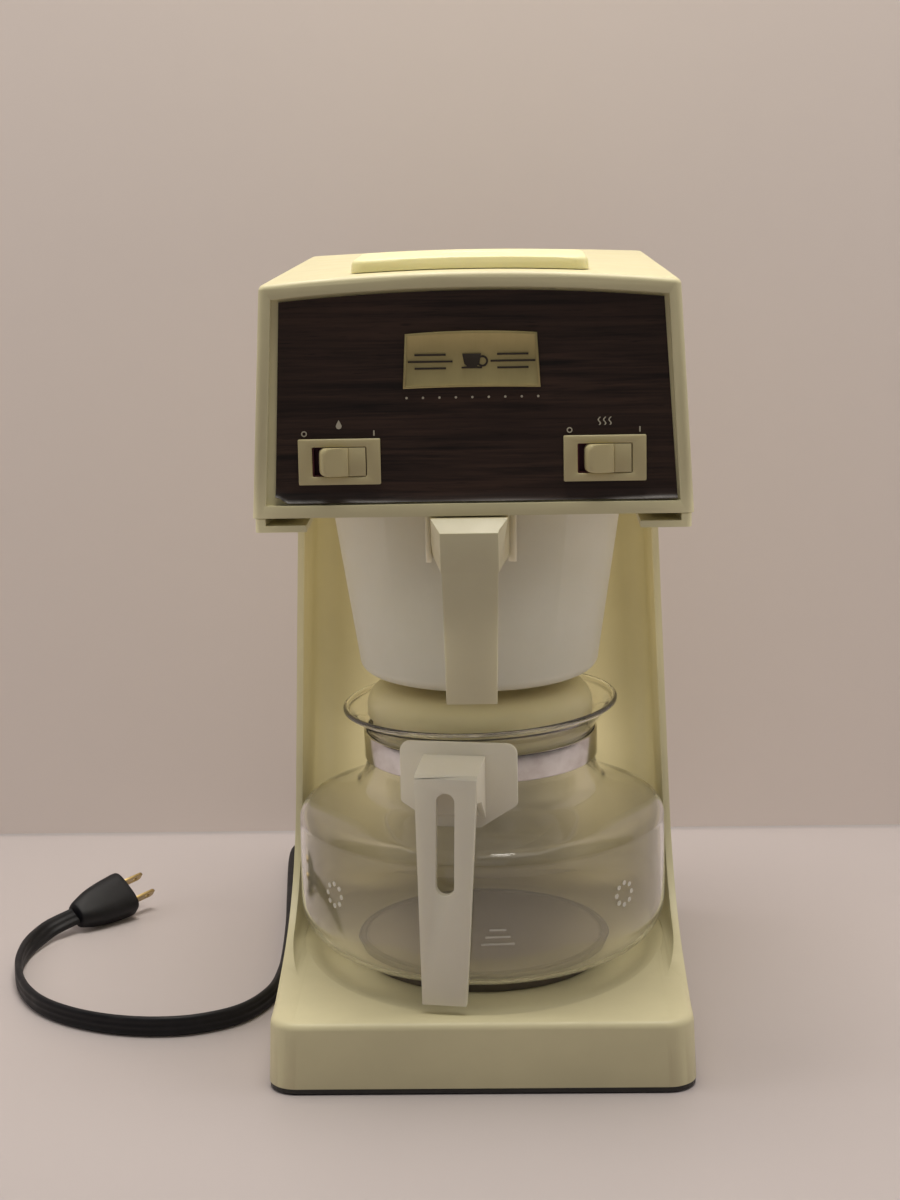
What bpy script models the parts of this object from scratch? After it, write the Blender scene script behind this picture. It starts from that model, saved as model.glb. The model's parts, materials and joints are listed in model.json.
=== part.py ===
"""Drip coffee maker with a slide-in basket, a glass carafe on a warming plate and two rocker switches.

Lengths below are in millimetres and become metres in world(). x is to the right, "depth" runs
backwards from the front edge of the base, and z is up from the surface it stands on.
"""

import math

import bmesh
import bpy
from mathutils import Matrix, Vector

MM = 0.001
GAP = 0.3  # clearance that touching pieces keep

# The base's own depth, whose middle is the part's origin
DEPTH = 258.0

# Base and column
FOOT_TOP = 0.5
PLATE_BOTTOM_Z = 0.8
PLATE_TOP_Z = 2.8
HOUSING_Z = 3.1
DECK_Z = 35.0
DISH_Z = 27.0
DISH_R = 113.0
COLUMN_TOP_Z = 267.7
SIDE_DRAFT = 0.0406  # loss of half-width per millimetre of height
WALL = 2.8
SIDE_WALL = 3.4
EDGE_DEPTH = 138.0  # front edge of the column's side walls
BAY_BACK = 222.0
HOUSING_BACK = 257.7
FRONT_CORNER_R = 14.0

# Axis shared by the warming plate, the carafe, the basket, the valve and the spreader
AXIS_DEPTH = 122.6
PLATE_R = 61.0
PLATE_Z = 35.3
RING_R = 65.3

# Head
FLOOR_Z = 268.0
FLOOR_TOP_Z = 277.4
HEAD_Z = 274.5
HEAD_TOP_Z = 379.2
CROWN_FRONT = 4.8
CROWN_BACK = 2.4
HEAD_FRONT = 14.0
HEAD_LEAN = 4.0
HEAD_BACK = 256.0
HEAD_HALF_BOTTOM = 100.0
HEAD_HALF_TOP = 94.2
HEAD_BACK_TAPER = 5.4
HEAD_WALL = 2.6
PANEL_RECESS = 4.0
OPENING_BOW = 4.4
RAIL_HALF = 90.8  # half the distance between the rails' side walls
RAIL_BACK = 206.0
LEAN = math.atan2(HEAD_LEAN, HEAD_TOP_Z - HEAD_Z)

# Switches
SWITCH_X = 59.9
SWITCH_S = 25.2
WINDOW_HALF = 12.3
WINDOW_HALF_S = 6.7
ROCKER_PIVOT_T = 3.4

# Basket
BASKET_BOTTOM_Z = 178.6
BASKET_R_BOTTOM = 60.4  # 6 mm above its flat bottom
BASKET_SLOPE = 0.149
FLANGE_Z = 271.3
FLANGE_TOP_Z = 274.0
PULL_X = -1.7
PULL_LOW_Z = 188.8
PULL_CORNER_Z = 268.0  # where the pull's face turns back into its sloping top
PULL_TOP_Z = 273.6

# Carafe
CARAFE_Z = 35.7
CARAFE_R = 94.3
HEEL_R = 70.0
HEEL_H = 24.0
SHOULDER_R = 84.8
SHOULDER_Z = 101.0
SHOULDER_CORNER = 9.0
NECK_R = 58.2
RIM_R = 69.8
RIM_Z = 161.0
RIM_TILT = math.radians(1.7)
CARAFE_TURN = math.radians(-9.0)
COLLAR_BOTTOM_Z = 130.0
COLLAR_TOP_Z = 147.0

# Cord
CORD_D = 10.5
CORD_REST_Z = 5.5
EXIT_X = -38.0
EXIT_Z = 16.0

CREAM = (0.72, 0.66, 0.42)
IVORY = (0.86, 0.84, 0.76)
COLOURS = {
    "cream_plastic": (CREAM, 0.42, 0.0),
    "white_plastic": (IVORY, 0.4, 0.0),
    "frosted_plastic": ((0.82, 0.84, 0.85), 0.35, 0.0),
    "lid_plastic": ((0.80, 0.76, 0.50), 0.4, 0.0),
    "woodgrain": ((0.045, 0.024, 0.015), 0.35, 0.0),
    "gold_plate": ((0.62, 0.52, 0.26), 0.35, 0.6),
    "steel": ((0.62, 0.62, 0.62), 0.3, 1.0),
    "plate_coating": ((0.36, 0.33, 0.30), 0.4, 0.3),
    "chrome": ((0.80, 0.79, 0.80), 0.12, 1.0),
    "glass": ((0.75, 0.76, 0.70), 0.05, 0.0),
    "aluminium": ((0.70, 0.70, 0.72), 0.4, 1.0),
    "brass": ((0.60, 0.46, 0.16), 0.3, 1.0),
    "black_rubber": ((0.02, 0.02, 0.02), 0.6, 0.0),
    "black_metal": ((0.03, 0.028, 0.025), 0.45, 0.3),
    "seal_rubber": ((0.06, 0.05, 0.045), 0.6, 0.0),
    "phenolic": ((0.10, 0.06, 0.05), 0.5, 0.0),
    "wire_sleeve": ((0.75, 0.72, 0.66), 0.7, 0.0),
}


def world(x, depth, z):
    """Millimetres from the base's front edge to metres from the part's origin."""
    return Vector((x, depth - DEPTH / 2, z)) * MM


def smooth_step(t):
    t = min(max(t, 0.0), 1.0)
    return t * t * (3 - 2 * t)


# ---------------------------------------------------------------- materials and objects


def make_materials():
    made = {}
    for name, (colour, roughness, metallic) in COLOURS.items():
        mat = bpy.data.materials.new(name)
        mat.use_nodes = True
        shader = mat.node_tree.nodes["Principled BSDF"]
        shader.inputs["Base Color"].default_value = (*colour, 1.0)
        shader.inputs["Roughness"].default_value = roughness
        shader.inputs["Metallic"].default_value = metallic
        mat.diffuse_color = (*colour, 1.0)
        made[name] = mat
    return made


def clear_scene():
    for obj in list(bpy.data.objects):
        bpy.data.objects.remove(obj, do_unlink=True)


def mesh_object(name, bm, material, pivot=None, smooth_angle=35.0):
    """An object from a bmesh in world metres, with its origin moved to pivot."""
    bmesh.ops.remove_doubles(bm, verts=bm.verts, dist=1e-6)
    bmesh.ops.recalc_face_normals(bm, faces=bm.faces)
    pivot = pivot or Vector((0.0, 0.0, 0.0))
    bm.transform(Matrix.Translation(-pivot))
    mesh = bpy.data.meshes.new(name)
    bm.to_mesh(mesh)
    bm.free()
    mesh.shade_smooth()
    mesh.set_sharp_from_angle(angle=math.radians(smooth_angle))
    obj = bpy.data.objects.new(name, mesh)
    obj.location = pivot
    if material is not None:
        mesh.materials.append(MATERIALS[material])
    bpy.context.scene.collection.objects.link(obj)
    return obj


def cutter(bm, name="cutter"):
    obj = mesh_object(name, bm, None)
    obj.hide_render = True
    obj.display_type = "WIRE"
    return obj


def boolean(obj, other, operation="DIFFERENCE"):
    mod = obj.modifiers.new(operation.lower(), "BOOLEAN")
    mod.operation = operation
    mod.solver = "EXACT"
    mod.object = other
    return obj


# ---------------------------------------------------------------- shapes, in millimetres


def loft(bm, loops, closed=False):
    """Skins loops of equal length; the ends are capped unless the loops close on themselves."""
    rings = [[bm.verts.new(world(*p)) for p in loop] for loop in loops]
    pairs = list(zip(rings, rings[1:]))
    if closed:
        pairs.append((rings[-1], rings[0]))
    else:
        bm.faces.new(rings[0])
        bm.faces.new(rings[-1])
    for low, high in pairs:
        for i in range(len(low)):
            j = (i + 1) % len(low)
            bm.faces.new((low[i], low[j], high[j], high[i]))
    return bm


def box(x0, x1, d0, d1, z0, z1):
    low = [(x0, d0, z0), (x1, d0, z0), (x1, d1, z0), (x0, d1, z0)]
    high = [(x, d, z1) for x, d, _ in low]
    return loft(bmesh.new(), [low, high])


def prism_x(outline, x0, x1):
    """An outline in (depth, z), drawn out along x."""
    return loft(bmesh.new(), [[(x, d, z) for d, z in outline] for x in (x0, x1)])


def turned(profile, centre=(0.0, AXIS_DEPTH), segments=40):
    """A profile of (radius, z) turned about a vertical line. Radius 0 points close on the line."""
    bm = bmesh.new()
    rings = []
    for radius, z in profile:
        if radius == 0.0:
            rings.append([bm.verts.new(world(centre[0], centre[1], z))])
            continue
        ring = []
        for k in range(segments):
            a = 2 * math.pi * k / segments
            ring.append(bm.verts.new(world(centre[0] + radius * math.cos(a), centre[1] + radius * math.sin(a), z)))
        rings.append(ring)
    pairs = list(zip(rings, rings[1:]))
    if len(rings[0]) > 1:
        pairs.append((rings[-1], rings[0]))
    for low, high in pairs:
        for k in range(segments):
            j = (k + 1) % segments
            if len(low) == 1:
                bm.faces.new((low[0], high[k], high[j]))
            elif len(high) == 1:
                bm.faces.new((low[k], low[j], high[0]))
            else:
                bm.faces.new((low[k], low[j], high[j], high[k]))
    return bm


def cylinder(x, depth, z0, z1, radius, segments=16):
    return turned([(0.0, z0), (radius, z0), (radius, z1), (0.0, z1)], (x, depth), segments)


def rounded_quad(half_front, half_back, d0, d1, z, r_front, r_back, steps=4, along=1):
    """A plan outline: a quadrilateral symmetric about x = 0, with rounded corners."""
    points = []
    corners = [
        (half_front, d0, r_front, -90), (half_back, d1, r_back, 0),
        (-half_back, d1, r_back, 90), (-half_front, d0, r_front, 180),
    ]
    for x, d, radius, start in corners:
        cx = x - math.copysign(radius, x)
        cd = d + radius if d == d0 else d - radius
        for k in range(steps + 1):
            a = math.radians(start + 90 * k / steps)
            points.append((cx + radius * math.cos(a), cd + radius * math.sin(a), z))
    if along == 1:
        return points
    filled = []
    for i, (x, d, _) in enumerate(points):
        filled.append((x, d, z))
        if i % (steps + 1) == steps:
            nx, nd, _ = points[(i + 1) % len(points)]
            for k in range(1, along):
                t = k / along
                filled.append((x + (nx - x) * t, d + (nd - d) * t, z))
    return filled


def arc(cx, cy, rx, ry, start, end, steps):
    """Points along an elliptical arc between two angles in degrees."""
    angles = [math.radians(start + (end - start) * k / steps) for k in range(steps + 1)]
    return [(cx + rx * math.cos(a), cy + ry * math.sin(a)) for a in angles]


def tube(name, points, diameter, material, resolution=2):
    curve = bpy.data.curves.new(name, "CURVE")
    curve.dimensions = "3D"
    curve.bevel_depth = diameter / 2 * MM
    curve.bevel_resolution = resolution
    curve.use_fill_caps = True
    spline = curve.splines.new("POLY")
    spline.points.add(len(points) - 1)
    for slot, p in zip(spline.points, points):
        slot.co = (*world(*p), 1.0)
    curve.materials.append(MATERIALS[material])
    obj = bpy.data.objects.new(name, curve)
    bpy.context.scene.collection.objects.link(obj)
    return obj


def smooth_route(points, spacing):
    """Evenly spaced points on a smooth curve through the route's own points."""
    route = [Vector(p) for p in points]
    ends = [2 * route[0] - route[1], *route, 2 * route[-1] - route[-2]]
    dense = []
    for i in range(1, len(ends) - 2):
        a, b, c, d = ends[i - 1 : i + 3]
        for k in range(24):
            t = k / 24
            dense.append(
                0.5 * (2 * b + (c - a) * t + (2 * a - 5 * b + 4 * c - d) * t**2 + (3 * b - a - 3 * c + d) * t**3)
            )
    dense.append(route[-1])
    lengths = [0.0]
    for a, b in zip(dense, dense[1:]):
        lengths.append(lengths[-1] + (b - a).length)
    count = max(2, round(lengths[-1] / spacing))
    evened = []
    j = 0
    for k in range(count + 1):
        target = lengths[-1] * k / count
        while j < len(dense) - 2 and lengths[j + 1] < target:
            j += 1
        span = lengths[j + 1] - lengths[j]
        t = (target - lengths[j]) / span if span else 0.0
        evened.append(tuple(dense[j].lerp(dense[j + 1], min(t, 1.0))))
    return evened


def front(x, t, s):
    """A point on the head's leaning front: t behind its face, s up its slope."""
    depth = HEAD_FRONT + s * math.sin(LEAN) + t * math.cos(LEAN)
    return (x, depth, HEAD_Z + s * math.cos(LEAN) - t * math.sin(LEAN))


def front_slab(outline, t0, t1):
    """An outline in (x, s) on the leaning front, between two depths behind the face."""
    return loft(bmesh.new(), [[front(x, t, s) for x, s in outline] for t in (t0, t1)])


def front_box(x0, x1, s0, s1, t0, t1):
    return front_slab([(x0, s0), (x1, s0), (x1, s1), (x0, s1)], t0, t1)


def turned_about_x(profile, x, depth, z, segments=12):
    """A profile of (radius, depth) turned about a line that runs front to back."""
    loops = []
    for radius, d in profile:
        loops.append([
            (x + radius * math.cos(2 * math.pi * k / segments), d, z + radius * math.sin(2 * math.pi * k / segments))
            for k in range(segments)
        ])
    return loft(bmesh.new(), loops)


# ---------------------------------------------------------------- base and column


def half_width(z):
    return 101.9 - SIDE_DRAFT * z


BOSS_PLACES = [(-70.0, 24.0), (70.0, 24.0), (-70.0, 212.0), (70.0, 212.0)]
FOOT_PLACES = [(-84.0, 24.0), (84.0, 24.0), (-84.0, 238.0), (84.0, 238.0)]
COVER_SCREWS = [(-84.0, 40.0), (84.0, 40.0), (-80.0, 236.0), (80.0, 236.0)]


def base_plan(z, inset=0.0, back=HOUSING_BACK):
    half = half_width(z) - inset
    draft = 0.035 * z
    return rounded_quad(half, half, draft + inset, back, z, FRONT_CORNER_R - inset, 3.0, 6)


def sweep_cutter():
    """Takes away what is above the deck and in front of the column, leaving the swept side edges."""
    outline = [(-30.0, 330.0), (-30.0, 31.6)]
    outline += [(d, z) for d, z in arc(4.7, 31.6, 3.6, 3.6, 180, 90, 4)]
    outline += [(d, z) for d, z in arc(50.0, 97.0, EDGE_DEPTH - 50.0, 60.0, -90, 0, 14)]
    outline += [(EDGE_DEPTH, 330.0)]
    return cutter(prism_x(outline, -140.0, 140.0))


def bay_loop(z, inset):
    half = half_width(z) - SIDE_WALL - inset
    return rounded_quad(half, half, -30.0, BAY_BACK - inset, z, 4.0, 12.0, 5)


def bay_cutter():
    fillet = 10.0
    loops = []
    for angle in (0, 22, 45, 68, 90):
        a = math.radians(angle)
        loops.append(bay_loop(DECK_Z + fillet * (1 - math.cos(a)), fillet * (1 - math.sin(a))))
    loops.append(bay_loop(330.0, 0.0))
    return cutter(loft(bmesh.new(), loops))


def dish_profile(drop=0.0, grow=0.0):
    shape = [(66.0, 0.0), (80.0, 0.9), (93.0, 3.1), (104.0, 6.0), (110.0, 7.7), (DISH_R, 8.3)]
    return [(0.0, DISH_Z - drop)] + [(r + grow, DISH_Z + h - drop) for r, h in shape]


def dish_cutter():
    profile = dish_profile() + [(DISH_R, 60.0), (0.0, 60.0)]
    dish = cutter(turned(profile, segments=36))
    limit_half = half_width(40.0) - SIDE_WALL - 2.0
    limit = cutter(box(-limit_half, limit_half, 0.0, BAY_BACK - 2.0, 10.0, 80.0))
    return boolean(dish, limit, "INTERSECT")


def hollow_cutter():
    """The space under the deck, which follows the dish from below."""
    under = rounded_quad(half_width(3) - WALL, half_width(3) - WALL, WALL + 0.6, 221.0, -6.0, 11.0, 3.0, 5)
    high = rounded_quad(
        half_width(31) - WALL, half_width(31) - WALL, WALL + 1.4, 221.0, DECK_Z - WALL - 0.4, 11.0, 3.0, 5
    )
    hollow = cutter(loft(bmesh.new(), [under, high]))
    dish = turned(dish_profile(WALL, 1.5) + [(DISH_R + 1.5, 70.0), (0.0, 70.0)], segments=32)
    return boolean(hollow, cutter(dish))


def column_cutter():
    """The wiring channel behind the column, open at the back."""
    low = half_width(0.0) - WALL
    high = half_width(300.0) - WALL
    loops = []
    for z, half in ((-6.0, low), (300.0, high)):
        loops.append([(-half, 225.0, z), (half, 225.0, z), (half, 280.0, z), (-half, 280.0, z)])
    return cutter(loft(bmesh.new(), loops))


def cover_boss(x, z):
    reach = half_width(z) - WALL + 0.8
    inner = abs(x) - 4.0
    side = math.copysign(1.0, x)
    x0, x1 = sorted((side * inner, side * reach))
    return box(x0, x1, 240.0, 254.6, z - 4.0, z + 4.0)


def make_lower_housing():
    housing = mesh_object("lower_housing", loft(bmesh.new(), [base_plan(HOUSING_Z), base_plan(COLUMN_TOP_Z)]), "cream_plastic")
    for tool in (sweep_cutter(), bay_cutter(), dish_cutter(), hollow_cutter(), column_cutter()):
        boolean(housing, tool)
    wire_way = box(-12.0, 12.0, 215.0, 230.0, -1.0, 18.0)
    boolean(housing, cutter(wire_way))
    boolean(housing, cutter(cylinder(0.0, AXIS_DEPTH, 10.0, 40.0, 58.0, 40)))
    for x, depth in BOSS_PLACES:
        boolean(housing, cutter(cylinder(x, depth, HOUSING_Z, DECK_Z - 1.6, 4.2, 12)), "UNION")
        boolean(housing, cutter(cylinder(x, depth, HOUSING_Z - 2.0, HOUSING_Z + 12.0, 1.7, 10)))
    for x, z in COVER_SCREWS:
        boolean(housing, cutter(cover_boss(x, z)), "UNION")
        hole = turned_about_x([(1.7, 246.0), (1.7, 262.0)], x, 0.0, z, 10)
        boolean(housing, cutter(hole))
    return housing


def make_bottom_plate():
    loops = []
    for z in (PLATE_BOTTOM_Z, PLATE_TOP_Z):
        loops.append(rounded_quad(101.5, 101.5, 0.4, 257.4, z, FRONT_CORNER_R - 0.4, 3.0, 6))
    plate = mesh_object("bottom_plate", loft(bmesh.new(), loops), "black_metal")
    for x, depth in BOSS_PLACES:
        boolean(plate, cutter(cylinder(x, depth, 0.0, 6.0, 1.9, 10)))
    for x, depth in FOOT_PLACES:
        boolean(plate, cutter(cylinder(x, depth, 0.0, 6.0, 3.4, 12)))
    for row in range(4):
        slot = box(-26.0, 26.0, 84.0 + 22.0 * row, 88.0 + 22.0 * row, 0.0, 6.0)
        boolean(plate, cutter(slot))
    return plate


def make_feet():
    names = ("foot_front_left", "foot_front_right", "foot_back_left", "foot_back_right")
    for name, (x, depth) in zip(names, FOOT_PLACES):
        profile = [(0.0, 0.0), (7.4, 0.0), (8.0, FOOT_TOP), (3.0, FOOT_TOP), (3.0, 3.1), (4.2, 3.2), (2.4, 6.0), (0.0, 6.0)]
        mesh_object(name, turned(profile, (x, depth), 16), "black_rubber")


def make_base_screws():
    names = ("base_screw_front_left", "base_screw_front_right", "base_screw_back_left", "base_screw_back_right")
    for name, (x, depth) in zip(names, BOSS_PLACES):
        profile = [(0.0, 0.1), (2.2, 0.1), (2.9, 0.5), (1.5, 0.5), (1.5, 13.0), (0.0, 13.0)]
        mesh_object(name, turned(profile, (x, depth), 12), "steel")


def make_rear_cover():
    z0 = 4.0
    z1 = COLUMN_TOP_Z - 0.6
    low = half_width(z0) - WALL - GAP
    high = half_width(z1) - WALL - GAP
    loops = []
    for d in (254.9, 257.1):
        loops.append([(-low, d, z0), (low, d, z0), (high, d, z1), (-high, d, z1)])
    cover = mesh_object("rear_cover", loft(bmesh.new(), loops), "cream_plastic")
    for x, z in COVER_SCREWS:
        boolean(cover, cutter(turned_about_x([(1.7, 250.0), (1.7, 262.0)], x, 0.0, z, 10)))
    boolean(cover, cutter(turned_about_x([(7.3, 250.0), (7.3, 262.0)], EXIT_X, 0.0, EXIT_Z, 16)))
    for row in range(5):
        z = 196.0 + 9.0 * row
        boolean(cover, cutter(box(-40.0, 40.0, 250.0, 262.0, z, z + 3.0)))
    return cover


def make_cover_screws():
    names = ("cover_screw_low_left", "cover_screw_low_right", "cover_screw_top_left", "cover_screw_top_right")
    for name, (x, z) in zip(names, COVER_SCREWS):
        profile = [(1.4, 247.5), (1.4, 257.3), (2.9, 257.3), (2.7, 257.9), (1.6, 258.0)]
        mesh_object(name, turned_about_x(profile, x, 0.0, z, 10), "steel")


# ---------------------------------------------------------------- warming plate


def make_warming_plate():
    ring = [
        (61.3, PLATE_Z), (64.4, PLATE_Z), (RING_R, PLATE_Z - 1.0), (62.9, DISH_Z + GAP), (58.4, DISH_Z + GAP),
        (58.4, 29.6), (61.3, 29.6),
    ]
    mesh_object("plate_ring", turned(ring, segments=36), "seal_rubber")
    plate = [
        (0.0, PLATE_Z), (60.4, PLATE_Z), (PLATE_R, PLATE_Z - 0.6), (PLATE_R, 29.9), (59.4, 29.9),
        (59.4, 33.8), (2.2, 33.8), (2.2, 12.0), (0.0, 12.0),
    ]
    mesh_object("warming_plate", turned(plate, segments=36), "plate_coating")
    heater = [(42.0 + r, 30.1 + z) for r, z in arc(0.0, 0.0, 3.2, 3.2, 360, 60, 5)]
    mesh_object("plate_heater", turned(heater, segments=24), "steel")
    clamp = [(2.6, 26.5), (50.0, 26.5), (50.0, 25.3), (2.6, 25.3)]
    mesh_object("heater_clamp", turned(clamp, segments=20), "aluminium")
    shield = [
        (2.6, 19.6), (2.6, 18.6), (55.2, 18.6), (57.0, 23.1), (66.0, 23.1), (66.0, 23.9), (56.0, 23.9), (54.4, 19.6),
    ]
    mesh_object("heat_shield", turned(shield, segments=24), "aluminium")
    nut_hole = [(2.9, 15.0), (2.9, 18.3), (4.8, 18.3), (4.8, 15.0)]
    mesh_object("plate_nut", turned(nut_hole, segments=6), "steel")
    mesh_object("plate_thermostat", cylinder(24.0, AXIS_DEPTH, 19.9, 25.0, 8.0, 16), "phenolic")


# ---------------------------------------------------------------- head


def head_half(z, back=False):
    t = (z - HEAD_Z) / (HEAD_TOP_Z - HEAD_Z)
    half = HEAD_HALF_BOTTOM + (HEAD_HALF_TOP - HEAD_HALF_BOTTOM) * t
    return half - (HEAD_BACK_TAPER if back else 0.0)


def head_front(z):
    return HEAD_FRONT + HEAD_LEAN * (z - HEAD_Z) / (HEAD_TOP_Z - HEAD_Z)


def crown(x, depth):
    t = (depth - HEAD_FRONT) / (HEAD_BACK - HEAD_FRONT)
    rise = CROWN_FRONT + (CROWN_BACK - CROWN_FRONT) * t
    return rise * max(0.0, 1 - (x / HEAD_HALF_TOP) ** 2)


def head_loop(z, inset, radius, top=False):
    plan = rounded_quad(
        head_half(z) - inset, head_half(z, True) - inset, head_front(z) + inset, HEAD_BACK - inset, z,
        radius, radius, 3, 6,
    )
    if not top:
        return plan
    return [(x, d, z + crown(x, d)) for x, d, _ in plan]


def head_shell(inset, z_low):
    """The head's outer form, or its cavity when inset by the wall."""
    edge = 4.0
    loops = [head_loop(z_low, inset, 4.0)]
    top = HEAD_TOP_Z - inset
    for angle in (0, 30, 60, 90):
        a = math.radians(angle)
        z = top - edge + edge * math.sin(a)
        loops.append(head_loop(z, inset + edge * (1 - math.cos(a)), 4.0, True))
    for share in (0.35, 0.7):
        loops.append(head_loop(top, inset + edge + 84.0 * share, 3.0, True))
    return loft(bmesh.new(), loops)


def opening_outline():
    """The recess in the head's front, with the same bow along its top as the head's crown."""
    low_half, high_half = 93.7, 88.9
    low, high = 5.6, 98.2
    outline = [(-low_half, low), (low_half, low)]
    for k in range(9):
        x = high_half - 2 * high_half * k / 8
        outline.append((x, high + OPENING_BOW * (1 - (x / high_half) ** 2)))
    return outline


def make_head_housing():
    head = mesh_object("head_housing", head_shell(0.0, HEAD_Z), "cream_plastic")
    cavity = cutter(head_shell(HEAD_WALL, HEAD_Z - 8.0))
    front_keep = front_box(-120.0, 120.0, -40.0, 120.0, -30.0, PANEL_RECESS + 2.4)
    boolean(cavity, cutter(front_keep))
    boolean(head, cavity)
    boolean(head, cutter(front_slab(opening_outline(), -20.0, PANEL_RECESS)))
    for side in (-1, 1):
        cx = side * SWITCH_X
        window = front_box(
            cx - WINDOW_HALF - 0.8, cx + WINDOW_HALF + 0.8, SWITCH_S - 7.4, SWITCH_S + 7.4, 0.0, 12.0
        )
        boolean(head, cutter(window))
    fill = rounded_quad(50.0, 50.0, 42.0, 98.0, 360.0, 5.0, 5.0, 3)
    boolean(head, cutter(loft(bmesh.new(), [fill, [(x, d, 400.0) for x, d, _ in fill]])))
    for x in (-84.0, 84.0):
        boss = cylinder(x, 240.0, FLOOR_TOP_Z + GAP, 300.0, 4.0, 12)
        boolean(head, cutter(boss), "UNION")
        web = box(min(x, x * 1.1), max(x, x * 1.1), 238.6, 241.4, FLOOR_TOP_Z + GAP, 300.0)
        boolean(head, cutter(web), "UNION")
        boolean(head, cutter(cylinder(x, 240.0, 270.0, 292.0, 1.7, 10)))
    return head


def make_head_floor():
    """The floor of the head, whose two C-shaped rails carry the basket."""
    inset = 1.1
    loops = []
    for z in (FLOOR_Z, FLOOR_TOP_Z):
        half = head_half(HEAD_Z)
        loops.append(rounded_quad(half - inset, half - inset - HEAD_BACK_TAPER, 14.5, 254.6, z, 2.0, 4.0, 3))
    body = mesh_object("head_floor", loft(bmesh.new(), loops), "cream_plastic")
    guide = RAIL_HALF + 3.4
    track = [(-guide, -20.0), (guide, -20.0), (guide, 15.0), (RAIL_HALF, 50.0), (RAIL_HALF, RAIL_BACK)]
    track += [(-RAIL_HALF, RAIL_BACK), (-RAIL_HALF, 50.0), (-guide, 15.0)]
    channel = loft(bmesh.new(), [[(x, d, z) for x, d in track] for z in (271.0, 275.0)])
    boolean(body, cutter(channel))
    boolean(body, cutter(box(-75.6, 75.6, -20.0, RAIL_BACK, 260.0, 272.0)))
    skirt = []
    for z in (HEAD_Z - GAP, 300.0):
        skirt.append(rounded_quad(
            head_half(HEAD_Z) - HEAD_WALL - GAP, head_half(HEAD_Z, True) - HEAD_WALL - GAP,
            HEAD_FRONT + PANEL_RECESS + 2.4 + 0.4, HEAD_BACK - HEAD_WALL - GAP, z, 1.5, 5.0, 3,
        ))
    rim = cutter(box(-130.0, 130.0, -10.0, 280.0, HEAD_Z - GAP, 300.0))
    boolean(rim, cutter(loft(bmesh.new(), [[(x, d, z - 5.0) for x, d, z in skirt[0]], skirt[1]])))
    boolean(body, rim)
    boolean(body, cutter(cylinder(0.0, AXIS_DEPTH, 260.0, 290.0, 31.0, 40)))
    boolean(body, cutter(box(-70.0, 70.0, 228.0, 247.0, 260.0, 290.0)))
    for x in (-84.0, 84.0):
        boolean(body, cutter(cylinder(x, 240.0, 260.0, 290.0, 1.9, 10)))
        boolean(body, cutter(cylinder(x, 240.0, 260.0, 269.4, 3.6, 12)))
    for x, d in ((-60.0, 76.0), (60.0, 76.0), (-60.0, 215.0), (60.0, 215.0)):
        boolean(body, cutter(cylinder(x, d, FLOOR_TOP_Z - 1.0, 299.7, 4.0, 12)), "UNION")
    return body


def make_head_screws():
    for name, x in (("head_screw_left", -84.0), ("head_screw_right", 84.0)):
        profile = [(0.0, 268.2), (2.6, 268.2), (3.1, 269.0), (1.5, 269.0), (1.5, 290.0), (0.0, 290.0)]
        mesh_object(name, turned(profile, (x, 240.0), 12), "steel")


# ---------------------------------------------------------------- front panel


def make_front_panel():
    outline = [(-89.4, 6.6), (92.6, 6.6), (86.8, 96.9), (44.0, 100.0), (0.6, 101.1), (-43.0, 100.0), (-85.5, 96.9)]
    panel = mesh_object("front_panel", front_slab(outline, 2.9, 3.7), "woodgrain")
    for side in (-1, 1):
        cx = side * SWITCH_X
        window = front_box(
            cx - WINDOW_HALF - 0.6, cx + WINDOW_HALF + 0.6, SWITCH_S - 7.2, SWITCH_S + 7.2, 0.0, 8.0
        )
        boolean(panel, cutter(window))
    plate = [(-30.5, 57.6), (31.3, 57.6), (30.0, 82.0), (-29.2, 82.0)]
    mesh_object("nameplate", front_slab(plate, 1.6, 2.6), "gold_plate")


def make_switch(label, side):
    cx = side * SWITCH_X
    frame_outline = [(cx - 18.6, SWITCH_S - 10.4), (cx + 18.6, SWITCH_S - 10.4), (cx + 18.6, SWITCH_S + 10.4), (cx - 18.6, SWITCH_S + 10.4)]
    frame = mesh_object(label + "_switch_frame", front_slab(frame_outline, 0.8, 2.6), "cream_plastic")
    window = front_box(cx - WINDOW_HALF, cx + WINDOW_HALF, SWITCH_S - WINDOW_HALF_S, SWITCH_S + WINDOW_HALF_S, 0.0, 5.0)
    boolean(frame, cutter(window))

    body = mesh_object(
        label + "_switch_body",
        front_box(cx - 12.6, cx + 12.6, SWITCH_S - 6.9, SWITCH_S + 6.9, 3.2, 30.0),
        "phenolic",
    )
    pocket = front_box(cx - 11.6, cx + 11.6, SWITCH_S - 6.2, SWITCH_S + 6.2, 0.0, 9.6)
    boolean(body, cutter(pocket))

    # Rocker section across the window: pressed in on the right, standing out on the left.
    section = [(11.3, 1.6), (11.3, 0.9), (4.4, 0.5), (4.1, -0.4), (1.0, -1.6), (-3.0, -2.9), (-6.6, -3.7)]
    section += [(-8.2, -3.4), (-8.9, -2.2), (-9.3, 3.0), (-7.0, 5.4)]
    section += [(x, ROCKER_PIVOT_T + t) for x, t in arc(0.0, 0.0, 5.0, 5.0, 150, 30, 6)]
    section += [(8.0, 4.2)]
    loops = []
    for s in (SWITCH_S - 5.9, SWITCH_S + 5.9):
        loops.append([front(cx + x, t, s) for x, t in section])
    pivot = world(*front(cx, ROCKER_PIVOT_T, SWITCH_S))
    mesh_object(label + "_switch_rocker", loft(bmesh.new(), loops), "cream_plastic", pivot)


# ---------------------------------------------------------------- water tank, heater and valve


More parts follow.
